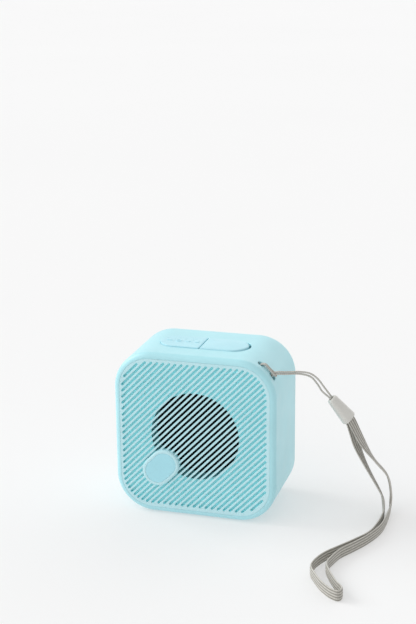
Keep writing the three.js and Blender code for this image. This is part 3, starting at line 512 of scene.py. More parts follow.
def metal(name, color, roughness, brushed=900.0):
    """Plated or pressed metal with fine scratches along one direction."""
    material, nodes, links, shader = new_material(name)
    shader.inputs["Metallic"].default_value = 1.0
    where = nodes.new("ShaderNodeTexCoord")
    stretch = nodes.new("ShaderNodeMapping")
    stretch.inputs["Scale"].default_value = (brushed, brushed * 0.06, brushed)
    links.new(where.outputs["Object"], stretch.inputs["Vector"])
    noise = nodes.new("ShaderNodeTexNoise")
    noise.inputs["Scale"].default_value = 1.0
    noise.inputs["Detail"].default_value = 4.0
    links.new(stretch.outputs["Vector"], noise.inputs["Vector"])
    fac = noise.outputs["Fac"]
    links.new(mixed(nodes, links, ranged(nodes, links, fac, 0, 1), [c * 0.88 for c in color], color),
              shader.inputs["Base Color"])
    links.new(ranged(nodes, links, fac, roughness - 0.06, roughness + 0.08), shader.inputs["Roughness"])
    add_bump(nodes, links, shader, fac, 0.1, 0.01 * MM)
    return material


def woven(name, color_low, color_high, threads, roughness=0.9):
    """Cloth with a plain weave made by two crossed waves in object space."""
    material, nodes, links, shader = new_material(name)
    where = nodes.new("ShaderNodeTexCoord")
    waves = []
    for direction in ("X", "Z"):
        wave = nodes.new("ShaderNodeTexWave")
        wave.wave_type = "BANDS"
        wave.bands_direction = direction
        wave.inputs["Scale"].default_value = threads
        links.new(where.outputs["Object"], wave.inputs["Vector"])
        waves.append(wave.outputs["Fac"])
    weave = nodes.new("ShaderNodeMath")
    weave.operation = "MULTIPLY"
    links.new(waves[0], weave.inputs[0])
    links.new(waves[1], weave.inputs[1])
    links.new(mixed(nodes, links, weave.outputs[0], color_low, color_high), shader.inputs["Base Color"])
    shader.inputs["Roughness"].default_value = roughness
    add_bump(nodes, links, shader, weave.outputs[0], 0.6, 0.05 * MM)
    return material


def strap_cloth(name, color_low, color_high, across, along, ribs, rib_bump, speck):
    """Woven nylon that follows the piece's UV: u goes across it or round it, v along it in millimetres; with ribs,
    painted shade darkens the colour in the valleys between them.
    """
    material, nodes, links, shader = new_material(name)
    where = nodes.new("ShaderNodeTexCoord")
    split = nodes.new("ShaderNodeSeparateXYZ")
    links.new(where.outputs["UV"], split.inputs["Vector"])

    def wave_of(u_turns, v_turns, phase=0.0):
        total = nodes.new("ShaderNodeMath")
        total.operation = "MULTIPLY_ADD"
        total.inputs[1].default_value = 2 * math.pi * u_turns
        links.new(split.outputs["X"], total.inputs[0])
        shifted = nodes.new("ShaderNodeMath")
        shifted.operation = "MULTIPLY"
        shifted.inputs[1].default_value = 2 * math.pi * v_turns
        links.new(split.outputs["Y"], shifted.inputs[0])
        links.new(shifted.outputs[0], total.inputs[2])
        moved = nodes.new("ShaderNodeMath")
        moved.inputs[1].default_value = phase
        links.new(total.outputs[0], moved.inputs[0])
        sine = nodes.new("ShaderNodeMath")
        sine.operation = "SINE"
        links.new(moved.outputs[0], sine.inputs[0])
        return sine.outputs[0]

    right, left = wave_of(across, along), wave_of(-across, along)
    cross = nodes.new("ShaderNodeMath")
    cross.operation = "MULTIPLY_ADD"
    cross.inputs[2].default_value = 0.5
    links.new(right, cross.inputs[0])
    links.new(left, cross.inputs[1])
    fuzz = object_noise(nodes, links, speck, 3.0)
    both = nodes.new("ShaderNodeMath")
    both.operation = "MULTIPLY"
    links.new(ranged(nodes, links, cross.outputs[0], 0.6, 1, -0.5, 1.5), both.inputs[0])
    links.new(ranged(nodes, links, fuzz, 0.8, 1.1), both.inputs[1])
    shade = both.outputs[0]
    # Painted shade: with ribs, the colour turns darker in the valleys between them.
    if ribs:
        rib_valley_shade = nodes.new("ShaderNodeMath")
        rib_valley_shade.operation = "MULTIPLY"
        links.new(shade, rib_valley_shade.inputs[0])
        ridges = wave_of(2 * ribs, 0.0, math.pi / 2)
        links.new(ranged(nodes, links, ridges, 0.0, 1.0, -0.9, 0.1), rib_valley_shade.inputs[1])
        shade = rib_valley_shade.outputs[0]
    links.new(mixed(nodes, links, shade, color_low, color_high), shader.inputs["Base Color"])
    links.new(ranged(nodes, links, fuzz, 0.75, 0.95), shader.inputs["Roughness"])
    shader.inputs["Sheen Weight"].default_value = 0.25
    shader.inputs["Sheen Roughness"].default_value = 0.4
    add_bump(nodes, links, shader, cross.outputs[0], rib_bump, 0.06 * MM)
    return material


# Painted shade: the saturated cyan given to the panel's grooves and inner walls, not the plastic's own colour.
PAINTED_GROOVE_SHADE = (0.45, 0.94, 0.98)
SHELL = moulded("shell_soft_touch", (0.45, 0.80, 0.87), 0.38, grain_depth=0.12)
PANEL = moulded("panel_moulding", (0.53, 0.82, 0.88), 0.42, grain=3200.0, groove_shade=PAINTED_GROOVE_SHADE)
BADGE = moulded("badge_moulding", (0.41, 0.77, 0.87), 0.42)
SILICONE = moulded("silicone", (0.47, 0.80, 0.89), 0.45, grain=3800.0, grain_depth=0.35, sheen=0.05)
FOOT_SILICONE = moulded("foot_silicone", (0.36, 0.62, 0.68), 0.75, grain=1800.0, grain_depth=0.5)
BEAD = moulded("bead_moulding", (0.69, 0.68, 0.64), 0.4, variation=0.04, grain=1800.0)
DARK_STEEL = metal("black_pressed_steel", (0.10, 0.10, 0.11), 0.5)
STEEL = metal("nickel_steel", (0.72, 0.72, 0.72), 0.3)
COPPER = metal("copper_wire", (0.72, 0.38, 0.20), 0.35, 2400.0)
FERRITE = moulded("ferrite", (0.03, 0.03, 0.032), 0.6, variation=0.2, grain=1500.0, grain_depth=0.5)
CLOTH = woven("acoustic_weave", (0.002, 0.002, 0.002), (0.008, 0.008, 0.008), 900.0)
TAPE = woven("foam_tape", (0.66, 0.62, 0.52), (0.78, 0.75, 0.66), 500.0)
PAPER = moulded("pressed_paper", (0.012, 0.012, 0.013), 0.85, variation=0.3, grain=900.0, grain_depth=0.8)
RUBBER = moulded("black_rubber", (0.014, 0.014, 0.015), 0.7, variation=0.1)
FOAM = moulded("foam", (0.02, 0.02, 0.02), 0.95, variation=0.3, grain=1100.0, grain_depth=1.0)
BOARD = moulded("solder_mask", (0.01, 0.13, 0.06), 0.35, variation=0.25, grain=500.0)
CHIP = moulded("chip_epoxy", (0.015, 0.015, 0.017), 0.5, variation=0.1)
CELL = moulded("cell_wrap", (0.28, 0.36, 0.45), 0.3, variation=0.06, grain=300.0)
BLACK_PLASTIC = moulded("black_plastic", (0.02, 0.02, 0.022), 0.45, variation=0.1)
RED_WIRE = moulded("red_insulation", (0.45, 0.02, 0.015), 0.35)
BLACK_WIRE = moulded("black_insulation", (0.02, 0.02, 0.02), 0.35)
CORD_BRAID = strap_cloth("cord_braid", (0.25, 0.245, 0.22), (0.62, 0.605, 0.56), 2, 0.55, 0, 0.6, 900.0)
# The webbing's darker colour serves both as its weave's darker threads and as the painted shade in its rib valleys.
WEBBING = strap_cloth("ribbed_webbing", (0.23, 0.22, 0.19), (0.64, 0.62, 0.57), 12, 0.9, WEB_RIBS, 0.5, 700.0)


# ---------------------------------------------------------------- wrist strap
# The same routes as in the CAD part, in metres.
HANG_UPPER = [
    (0.05580, -0.00360, 0.05205), (0.05447, -0.00424, 0.05394), (0.05187, -0.00586, 0.05819),
    (0.04942, -0.00699, 0.06188), (0.04660, -0.00830, 0.06440), (0.04250, -0.01017, 0.06545),
    (0.03700, -0.01270, 0.06570), (0.03460, -0.01390, 0.06595),
]
HANG_LOWER = [
    (0.05542, -0.00437, 0.05153), (0.05405, -0.00500, 0.05342), (0.05120, -0.00601, 0.05624),
    (0.04915, -0.00698, 0.05980), (0.04670, -0.00825, 0.06300), (0.04252, -0.01017, 0.06455),
    (0.03700, -0.01270, 0.06485), (0.03490, -0.01390, 0.06510),
]
# Round the strap bar: angle in degrees and radius about the corner's centre, and a strand's sideways place
LOWER_ENTRY, UPPER_ENTRY = 33.9, 36.5
HITCH = [
    (0.0, 17.4, 0.1), (0.0, 15.9, 0.15), (1.5, 14.3, 0.35), (42.5, 13.7, 0.45), (50.5, 13.7, 0.45),
    (56.7, 14.5, 0.45), (57.4, 16.0, 0.45), (53.0, 17.05, 0.45), (45.0, 17.0, 0.45), (38.0, 17.1, 0.85),
    (34.0, 17.3, 0.95),
]
CROWN = (31.2, 17.35)
# Centre line of the webbing loop, with the heading and the tilt of its flat width in degrees
WEB_ROUTE = [
    (0.0596, -0.0017, 0.0457, -116, -31), (0.0614, -0.0008, 0.0431, -116, -31),
    (0.0633, 0.0004, 0.0370, -128, -17), (0.0646, 0.0008, 0.0321, -117, -12),
    (0.0662, 0.0012, 0.0278, -101, -10), (0.0684, 0.0017, 0.0229, -87, -8),
    (0.0712, 0.0031, 0.0168, -78, -7), (0.0754, 0.0050, 0.0076, -73, 4),
    (0.0761, 0.0045, 0.0046, -70, 35), (0.0767, 0.0019, 0.0028, -70, 70),
    (0.0774, -0.0041, 0.0024, -70, 90), (0.0768, -0.0151, 0.0024, -70, 90),
    (0.0750, -0.0240, 0.0024, -70, 90), (0.0703, -0.0326, 0.0024, -70, 90),
    (0.0651, -0.0407, 0.0024, -70, 90), (0.0614, -0.0467, 0.0024, -70, 90),
    (0.0590, -0.0537, 0.0024, -70, 90), (0.0587, -0.0594, 0.0024, -70, 90),
    (0.0620, -0.0659, 0.0024, -70, 90), (0.0653, -0.0709, 0.0024, -70, 90),
    (0.0700, -0.0756, 0.0024, -70, 90), (0.0729, -0.0767, 0.0024, -70, 90),
    (0.0737, -0.0738, 0.0024, -70, 90), (0.0704, -0.0688, 0.0024, -70, 90),
    (0.0663, -0.0613, 0.0024, -70, 90), (0.0640, -0.0551, 0.0024, -70, 90),
    (0.0650, -0.0486, 0.0024, -70, 90), (0.0667, -0.0427, 0.0024, -70, 90),
    (0.0709, -0.0351, 0.0024, -70, 90), (0.0750, -0.0270, 0.0024, -70, 90),
    (0.0785, -0.0162, 0.0024, -70, 90), (0.0793, -0.0039, 0.0024, -70, 90),
    (0.0791, 0.0047, 0.0030, -70, 65), (0.0789, 0.0064, 0.0050, -70, 35),
    (0.0789, 0.0066, 0.0081, -76, 0), (0.0773, 0.0059, 0.0166, -69, -2),
    (0.0721, 0.0028, 0.0246, -64, -8), (0.0672, -0.0007, 0.0338, -106, -19),
    (0.0623, -0.0016, 0.0436, -116, -31), (0.0605, -0.0024, 0.0461, -116, -31),
]
BEAD_START, BEAD_END = Vector((0.05461, -0.00446, 0.05321)), Vector((0.06185, -0.0012, 0.04335))
BEAD_HEADING, BEAD_TILT = -116, -31
CORD_POCKET = (2.5 * MM, 1.5 * MM, 2.3 * MM)
WEB_POCKET = (5.1 * MM, 2.8 * MM, 3.6 * MM)
BEAD_NARROW, BEAD_WIDE = (4.3 * MM, 3.4 * MM), (6.9 * MM, 4.6 * MM)


def corner_point(angle, rho, y):
    a = math.radians(angle)
    return (WIDTH / 2 - CORNER_R + rho * MM * math.cos(a), y, Z_TOP - CORNER_R + rho * MM * math.sin(a))


def smooth_route(points, per_span=12):
    """A centripetal Catmull-Rom curve; numbers after x, y and z are mixed along each span."""
    places = [Vector(p[:3]) for p in points]
    places = [2 * places[0] - places[1], *places, 2 * places[-1] - places[-2]]
    route = []
    for index, (p0, p1, p2, p3) in enumerate(zip(places, places[1:], places[2:], places[3:])):
        d0, d1, d2 = ((b - a).length ** 0.5 for a, b in ((p0, p1), (p1, p2), (p2, p3)))
        leave = d1 * ((p1 - p0) / d0 - (p2 - p0) / (d0 + d1) + (p2 - p1) / d1)
        arrive = d1 * ((p2 - p1) / d1 - (p3 - p1) / (d1 + d2) + (p3 - p2) / d2)
        a, b = points[index], points[index + 1]
        for step in range(per_span + (index == len(points) - 2)):
            t = step / per_span
            place = (
                p1 * (2 * t**3 - 3 * t**2 + 1) + leave * (t**3 - 2 * t**2 + t)
                + p2 * (3 * t**2 - 2 * t**3) + arrive * (t**3 - t**2)
            )
            route.append((*place, *[x + (y - x) * t for x, y in zip(a[3:], b[3:])]))
    return route


def evenly(route, step):
    """The route again with points about step apart."""
    along = [0.0]
    for a, b in zip(route, route[1:]):
        along.append(along[-1] + math.dist(a[:3], b[:3]))
    count = max(2, round(along[-1] / step))
    result, index = [], 0
    for k in range(count + 1):
        at = along[-1] * k / count
        while index < len(along) - 2 and along[index + 1] < at:
            index += 1
        t = (at - along[index]) / max(along[index + 1] - along[index], 1e-12)
        result.append(tuple(x + (y - x) * t for x, y in zip(route[index], route[index + 1])))
    return result, along[-1]


def directions(route):
    places = [Vector(p[:3]) for p in route]
    return places, [(b - a).normalized() for a, b in zip([places[0], *places], [*places[1:], places[-1]])]


def sweep(name, places, frames, section, u_of):
    """A section of (across, through) points carried along a route, with its ends filled."""
    rings = [
        [place + wide * u + thick * v for u, v in section(i)]
        for i, (place, (wide, thick)) in enumerate(zip(places, frames))
    ]
    obj = loft(name, rings)
    count = len(rings[0])
    uv = obj.data.uv_layers.new(name="UVMap").data
    run = [0.0]
    for a, b in zip(places, places[1:]):
        run.append(run[-1] + (b - a).length / MM)
    for face in obj.data.polygons:
        wraps = max(v % count for v in face.vertices) - min(v % count for v in face.vertices) > 1
        for loop, vertex in zip(face.loop_indices, face.vertices):
            ring, at = divmod(vertex, count)
            around = count if wraps and at == 0 else at
            uv[loop].uv = (u_of(around), run[ring])
    return obj


def facing(heading, tilt):
    h, t = math.radians(heading), math.radians(tilt)
    return Vector((math.cos(h) * math.cos(t), math.sin(h) * math.cos(t), math.sin(t)))


def square_to(axis, vector):
    return (vector - axis * axis.dot(vector)).normalized()


def facing_frames(tangents, facings):
    """The webbing's frames, from the heading and tilt of its width at each point, evened along the route."""
    frames = []
    for i, tangent in enumerate(tangents):
        near = [facing(*f) for f in facings[max(0, i - 5):i + 6]]
        wide = square_to(tangent, sum(near, Vector()))
        frames.append((wide, tangent.cross(wide)))
    return frames


def carried_frames(places, tangents):
    """Frames that don't twist: each is the one before, tilted by as little as the route asks."""
    wide = tangents[0].orthogonal().normalized()
    frames = []
    for tangent in tangents:
        wide = (wide - tangent * tangent.dot(wide)).normalized()
        frames.append((wide, tangent.cross(wide)))
    return frames


def make_strap_cord():
    """A thin twisted cord, doubled and hitched round the bar."""
    strands = []
    for side, hang, entry in ((-1, HANG_LOWER, LOWER_ENTRY), (1, HANG_UPPER, UPPER_ENTRY)):
        hitch = [
            (a + entry * (i < 3), rho, STRAP_Y + side * shift * MM)
            for i, (a, rho, shift) in enumerate(HITCH)
        ]
        strands.append([*hang, *[corner_point(*place) for place in hitch]])
    points = [*strands[0], corner_point(*CROWN, STRAP_Y), *reversed(strands[1])]
    route, length = evenly(smooth_route(points), 0.18 * MM)
    places, tangents = directions(route)
    plies, lay, steps = 3, 2.6 * MM, 18

    def section(i):
        twist = 2 * math.pi * i * length / (len(route) - 1) / lay
        points = []
        for k in range(steps):
            a = 2 * math.pi * k / steps
            bulge = abs(math.cos((a * plies - twist * plies) / 2))
            r = CORD_D / 2 * (0.84 + 0.16 * bulge ** 0.7)
            points.append((r * math.cos(a), r * math.sin(a)))
        return points

    cord = sweep("wrist_cord", places, carried_frames(places, tangents), section, lambda k: k / steps)
    smooth(cord, 60)
    return dress(cord, CORD_BRAID, "body", "cord", "strap_cord"), places


def make_webbing():
    """Flat ribbed webbing that leaves the bead, lies on edge in a long loop and comes back."""
    route = evenly(smooth_route(WEB_ROUTE), 0.45 * MM)[0]
    places, tangents = directions(route)
    frames = facing_frames(tangents, [p[3:] for p in route])
    ribs, per_side = WEB_RIBS, 36

    def section(_):
        points = []
        for side in (1, -1):
            for k in range(per_side):
                s = k / (per_side - 1) * 2 - 1
                edge = (1 - abs(s) ** 6) ** 0.5
                ridge = 0.5 + 0.5 * math.cos(math.pi * ribs * (s + 1))
                half = WEB_T / 2 * (0.72 + 0.28 * ridge * (abs(s) < 0.97)) * max(edge, 0.12)
                points.append((side * s * WEB_W / 2, side * half))
        return points

    def share_across(k):
        return (k // per_side + k % per_side / (per_side - 1)) / 2

    webbing = sweep("wrist_webbing", places, frames, section, share_across)
    smooth(webbing, 60)
    return dress(webbing, WEBBING, "body", "webbing", "strap_webbing"), places


def make_bead():
    """A ferrule with rounded edges that widens towards the webbing, with a mouth at each end."""
    axis = (BEAD_END - BEAD_START).normalized()
    long = (BEAD_END - BEAD_START).length
    wide = square_to(axis, facing(BEAD_HEADING, BEAD_TILT))
    thick = axis.cross(wide)

    def placed(outline, along):
        return [BEAD_START + axis * along + wide * u + thick * v for u, v in outline]

    def ring(t, shrink):
        w, h = (a + (b - a) * t for a, b in zip(BEAD_NARROW, BEAD_WIDE))
        return placed(rounded_rect(w, h, min(w, h) * 0.46, -shrink, 10), long * t)

    round_r = 0.95 * MM
    start = [(along / long, shrink) for shrink, along in quarter_turn(round_r, 5)]
    rings = [ring(t, shrink) for t, shrink in start]
    rings += [ring(t, 0) for t in (0.2, 0.4, 0.6, 0.8)]
    rings += [ring(1 - t, shrink) for t, shrink in reversed(start)]
    bead = loft("strap_ferrule", rings)
    for (w, h, depth), end, inward in ((CORD_POCKET, 0, 1), (WEB_POCKET, long, -1)):
        lip = 0.3 * MM
        profile = [(0, depth), (0, lip), (0.5 * lip, 0.4 * lip), (lip, 0), (lip, -MM)]
        cut(bead, loft("mouth", [
            placed(rounded_rect(w, h, 0.5 * MM, grow - 0.1 * MM, 6), end + inward * along)
            for grow, along in profile
        ]))
    smooth(bead)
    return dress(bead, BEAD, "body", "bead", "strap_bead")


ferrule = make_bead()
cord_piece, cord_line = make_strap_cord()
webbing_piece, web_line = make_webbing()
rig.cord(cord_piece, exit=cord_line[0], length=0.0995, diameter=CORD_D, far_end="object", stiffness="limp",
        lay="hanging", path=cord_line, with_pieces=[ferrule])
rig.cord(webbing_piece, exit=web_line[0], length=0.275, diameter=WEB_W, far_end="object", stiffness="limp",
        lay="loose", path=web_line)


# ---------------------------------------------------------------- housing
def strip_outline(grow):
    middle = (STRIP_LEFT + STRIP_RIGHT) / 2
    half = (STRIP_RIGHT - STRIP_LEFT - STRIP_W) / 2
    return stadium(half, STRIP_W / 2 + grow, 0, middle, STRIP_Y, 20)


def make_housing():
    def ring(inset, y):
        return [Vector((x, y, z + Z_MID)) for x, z in rounded_rect(WIDTH, HEIGHT, CORNER_R, -inset, 24)]

    inner_back_r = BACK_EDGE_R - WALL
    rings = [ring(WALL + i, Y_BACK - WALL - o) for i, o in quarter_turn(inner_back_r, 8)]
    rings += [ring(WALL, Y_FRONT + 0.08 * MM), ring(WALL - 0.05 * MM, Y_FRONT)]
    rings += [ring(i, Y_FRONT + o) for i, o in quarter_turn(FRONT_EDGE_R, 10)]
    rings += [ring(i, Y_BACK - o) for i, o in reversed(quarter_turn(BACK_EDGE_R, 16))]
    housing = loft("housing_shell", rings)
    # The deck under the top strip, then the strip's pocket and the holes through the deck
    deck = levels("deck", lambda grow: strip_outline(1.6 * MM), on_top,
                  [(0, POCKET_DEPTH + DECK_T), (0, 1.0 * MM)])
    join(housing, deck)
    cut(housing, cutter(strip_outline, on_top, POCKET_DEPTH, 0.22 * MM))
    holes = [((x, STRIP_Y), lambda grow: circle(1.25 * MM + grow, steps=24)) for x in KEYS.values()]
    holes.append(((5.6 * MM, STRIP_Y), lambda grow: rounded_rect(10 * MM, 4.2 * MM, 0.8 * MM, grow, 6)))
    holes.append(((14.6 * MM, STRIP_Y), lambda grow: circle(2.6 * MM + grow, steps=40)))
    holes.append(((0.25 * MM, STRIP_Y), lambda grow: rounded_rect(1.1 * MM, 5.8 * MM, 0.3 * MM, grow, 4)))
    for (x, y), outline in holes:
        def place(points, below, x=x, y=y):
            return on_top([(u + x, v + y) for u, v in points], below)
        cut(housing, levels("hole", outline, place, [(0, POCKET_DEPTH + 2 * DECK_T), (0, POCKET_DEPTH - MM)]))
    # Screw posts from the back, counterbored for the heads
    for x, z in SCREW_XZ:
        def turned(r, y, x=x, z=z):
            return [Vector((u, y, v)) for u, v in circle(r, x, z, 40)]
        join(housing, loft("post", [turned(3 * MM, -9.7 * MM), turned(3 * MM, Y_BACK - WALL + 0.5 * MM)]))
        head_r, mouth = 2.25 * MM, 0.3 * MM
        bore = [turned(1.3 * MM, -11 * MM), turned(1.3 * MM, -6 * MM), turned(head_r, -6 * MM)]
        bore += [turned(head_r + mouth - i, Y_BACK - o) for i, o in reversed(quarter_turn(mouth, 4))]
        cut(housing, loft("bore", [*bore, turned(head_r + mouth, Y_BACK + MM)]))
    # A closed pocket behind the top right corner, and two slots into it either side of the strap bar
    def along_arc(s0, s1):
        def place(points, below):
            return on_corner([(u + (s0 + s1) / 2, v + STRAP_Y) for u, v in points], below)
        return place

    arc = [math.radians(a) * CORNER_R for a in (HOLE_ANGLES[0], *BAR_ANGLES, HOLE_ANGLES[1])]
    pocket_l = arc[3] - arc[0]

    def block(grow):
        return rounded_rect(pocket_l + 2.8 * MM, 2 * SLOT_HALF_Y + 2 * STRAP_POCKET_WALL, 1.2 * MM, grow, 6)

    join(housing, levels("block", block, along_arc(arc[0], arc[3]), [
        (0, STRAP_POCKET_DEPTH + STRAP_POCKET_WALL), (0, 1.0 * MM)]))
    for s0, s1 in ((arc[0], arc[1]), (arc[2], arc[3])):
        def opening(grow, length=s1 - s0):
            return rounded_rect(length, 2 * SLOT_HALF_Y, 1.0 * MM, grow, 8)

        cut(housing, cutter(opening, along_arc(s0, s1), STRAP_POCKET_DEPTH, 0.25 * MM))

    def channel(grow):
        return rounded_rect(arc[2] - arc[1] + 2 * MM, 2 * SLOT_HALF_Y, 0.2 * MM, grow, 3)

    cut(housing, levels("channel", channel, along_arc(arc[1], arc[2]), [(0, STRAP_POCKET_DEPTH), (0, BAR_T)]))
    # Recesses for the feet
    for foot in ("foot_1", "foot_2"):
        low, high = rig.box(foot)
        r = (high.y - low.y) / 2
        half = (high.x - low.x) / 2 - r
        rim = stadium(half, r + 0.15 * MM, 0, 0, (low.y + high.y) / 2)
        cut(housing, loft("recess", [
            [Vector((x, y, z)) for x, y in rim] for z in (Z_BOTTOM - MM, Z_BOTTOM + 0.7 * MM)]))
    smooth(housing)
    dress(housing, SHELL, "body", "shell", "housing")


# ---------------------------------------------------------------- front panel and badge
def groove_span(q):
    """Where the groove at distance q from the panel's middle starts and ends inside the groove field."""
    w, h, r = SLOT_FIELD
    along = (math.cos(SLOT_ANGLE), math.sin(SLOT_ANGLE))
    across = (-along[1], along[0])
    w, h, r = w - SLOT_W, h - SLOT_W, r - SLOT_W / 2
    inside = []
    for i in range(-1000, 1001):
        s = i * 0.05 * MM
        x = abs(q * across[0] + s * along[0] - SLOT_FIELD_X)
        z = abs(q * across[1] + s * along[1] - SLOT_FIELD_Z)
        corner = math.hypot(max(x - (w / 2 - r), 0), max(z - (h / 2 - r), 0))
        if x <= w / 2 and z <= h / 2 and corner <= r:
            inside.append(s)
    return (inside[0], inside[-1]) if len(inside) > 20 else None


def badge_outline(r):
    return lambda grow: stadium(BADGE_HALF, r + grow, SLOT_ANGLE, BADGE_X, BADGE_Z, 24)


def make_panel():
    inset = WALL + SEAM

    def outline(grow):
        return [(x, z + Z_MID) for x, z in
                rounded_rect(WIDTH - 2 * inset, HEIGHT - 2 * inset, CORNER_R - inset, grow, 24)]

    panel = levels("slatted_panel", outline, on_front, plate_profile(PANEL_T, 0, 0.06 * MM))

    def stub(name, r, x, z, steps, *depths):
        return loft(name, [on_front(circle(r, x, z, steps), d) for d in depths])

    root = PANEL_T - 0.5 * MM
    join(panel, stub("tube", OPENING_R + TUBE_WALL, 0, DRIVER_Z, 96, TUBE_DEPTH, root))
    boss_end = -Y_FRONT - 10 * MM
    for x, z in SCREW_XZ:
        join(panel, stub("boss", 3 * MM, x, z, 32, boss_end, root))
        cut(panel, stub("pilot", 1.3 * MM, x, z, 24, boss_end + MM, 3.3 * MM))
    reach = 22.6 * MM * math.sqrt(0.5)
    for x, z in [(sx * reach, DRIVER_Z + sz * reach) for sx in (-1, 1) for sz in (-1, 1)]:
        join(panel, stub("ear", 2.1 * MM, x, z, 32, TUBE_DEPTH + 1.2 * MM, root))
    cut(panel, stub("bore", OPENING_R, 0, DRIVER_Z, 96, TUBE_DEPTH + 5 * MM, SLAT_T))
    grooves = []
    for k in range(-SLOTS_EACH_SIDE, SLOTS_EACH_SIDE + 1):
        q = SLOT_OFFSET + k * SLOT_PITCH
        span = groove_span(q)
        if span:
            middle, half = (span[0] + span[1]) / 2, (span[1] - span[0]) / 2
            x = -q * math.sin(SLOT_ANGLE) + middle * math.cos(SLOT_ANGLE)
            z = q * math.cos(SLOT_ANGLE) + middle * math.sin(SLOT_ANGLE) + Z_MID
            grooves.append(cutter(
                lambda grow, half=half, x=x, z=z: stadium(half, SLOT_W / 2 + grow, SLOT_ANGLE, x, z, 8),
                on_front, SLOT_DEPTH, SLOT_FILLET))
    slots = gather("slots", grooves)
    cut(slots, levels("boss", badge_outline(BOSS_R), on_front, [(0, 3 * MM), (0, -3 * MM)]))
    cut(panel, slots)
    crown = [(0, PANEL_T - 0.6 * MM), (0, 0)]
    for i in range(1, 9):
        a = math.radians(90) * i / 8
        crown.append((-BADGE_SLOPE * (1 - math.cos(a)), -BADGE_PROUD * math.sin(a)))
    join(panel, levels("crown", badge_outline(BOSS_R), on_front, crown))

    def on_crown(points, below):
        return on_front(points, below - BADGE_PROUD)

    cut(panel, cutter(badge_outline(PLATE_R + SEAM), on_crown, BADGE_RECESS, 0.1 * MM))
    smooth(panel)
    dress(panel, PANEL, "body", "panel", "front_panel")
    plate_low = BADGE_RECESS - 0.1 * MM
    plate = levels("blank_badge", badge_outline(PLATE_R), on_crown, [
        *plate_profile(plate_low, 0.02 * MM, 0.16 * MM), (-1.2 * MM, 0.0), (-2.6 * MM, 0.0)])
    smooth(plate)
    dress(plate, BADGE, "body", "badge", "badge_plate")


# ---------------------------------------------------------------- control pad, keys and port flap
pad_low, pad_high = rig.box("control_pad")
PAD_PROUD = pad_high.z - Z_TOP
FLAP_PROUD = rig.box("port_flap")[1].z - Z_TOP


def cut_strip(left, right, square_end, grow, corner=0.5 * MM, steps=20):
    """Half of the strip: round at one end and square, with small corners, at the other."""
    r = STRIP_W / 2 - STRIP_FIT + grow
    left, right = left - grow, right + grow
    corner = max(corner + grow, 0.05 * MM)
    turn = right - r if square_end == "left" else left + r
    edge = left + corner if square_end == "left" else right - corner
    arcs = [(edge, r - corner, corner, 90, 180), (edge, corner - r, corner, 180, 270), (turn, 0, r, -90, 90)]
    if square_end == "right":
        arcs = [(edge, corner - r, corner, -90, 0), (edge, r - corner, corner, 0, 90), (turn, 0, r, 90, 270)]
    points = []
    for u, v, radius, a0, a1 in arcs:
        count = steps if radius == r else 5
        for i in range(count + 1):
            a = math.radians(a0 + (a1 - a0) * i / count)
            points.append((u + radius * math.cos(a), v + STRIP_Y + radius * math.sin(a)))
    return points


def key_outline(x, extra):
    r = KEY_W / 2 + extra
    return lambda grow: stadium((KEY_LONG - KEY_W) / 2, r + grow, math.pi / 2, x, STRIP_Y, 12)


def raised_symbol(kind, x, top):
    """The embossed sign on a key: a bar, a ring, a cross or a small square."""
    line, reach, height = 0.36 * MM, 1.1 * MM, 0.2 * MM

    def bump_of(outline):
        return levels("sign", outline, on_top, [(0, top + 0.3 * MM), (0, top - height * 0.7),
                                                (-0.06 * MM, top - height)])

    def bar(w, d):
        return bump_of(lambda grow: [(x + u, STRIP_Y + v) for u, v in rounded_rect(w, d, 0.3 * MM, grow, 5)])

    if kind == "minus":
        return bar(2 * reach, 2 * line)
    if kind == "plus":
        sign = bar(2 * reach, 2 * line)
        join(sign, bar(2 * line, 2 * reach))
        return sign
    if kind == "play":
        ring = bump_of(lambda grow: circle(1.3 * MM + grow, x, STRIP_Y, 40))
        cut(ring, levels("eye", lambda grow: circle(0.75 * MM + grow, x, STRIP_Y, 32), on_top,
                         [(0, top + MM), (0, top - height / 2), (0.1 * MM, top - height - 0.1 * MM)]))
        return ring
    return bar(1.7 * MM, 1.7 * MM)


def make_strip():
    top = -PAD_PROUD
    gap = 0.3 * MM - KEY_SEAM

    def pad_outline(grow):
        return cut_strip(STRIP_LEFT + STRIP_FIT, pad_high.x + STRIP_FIT, "right", grow)

    profile = plate_profile(POCKET_DEPTH - 0.1 * MM, top, 0.4 * MM, steps=6)
    pad = levels("control_skin", pad_outline, on_top, profile)
    for name, x in KEYS.items():
        cut(pad, cutter(key_outline(x, 0.3 * MM), on_top, POCKET_DEPTH + MM, 0.02 * MM))
    smooth(pad)
    dress(pad, SILICONE, "body", "silicone", "control_pad")
    for name, x in KEYS.items():
        key = levels("keycap_" + name, key_outline(x, gap), on_top,
                     plate_profile(1.9 * MM, top, 0.02 * MM))
        stem_end = 4.1 * MM
        join(key, loft("stem", [on_top(circle(0.9 * MM, x, STRIP_Y, 24), d) for d in (stem_end, 1.5 * MM)]))
        join(key, raised_symbol(name, x, top))
        smooth(key)
        dress(key, SILICONE, name + "_key", "silicone", "key_" + name)


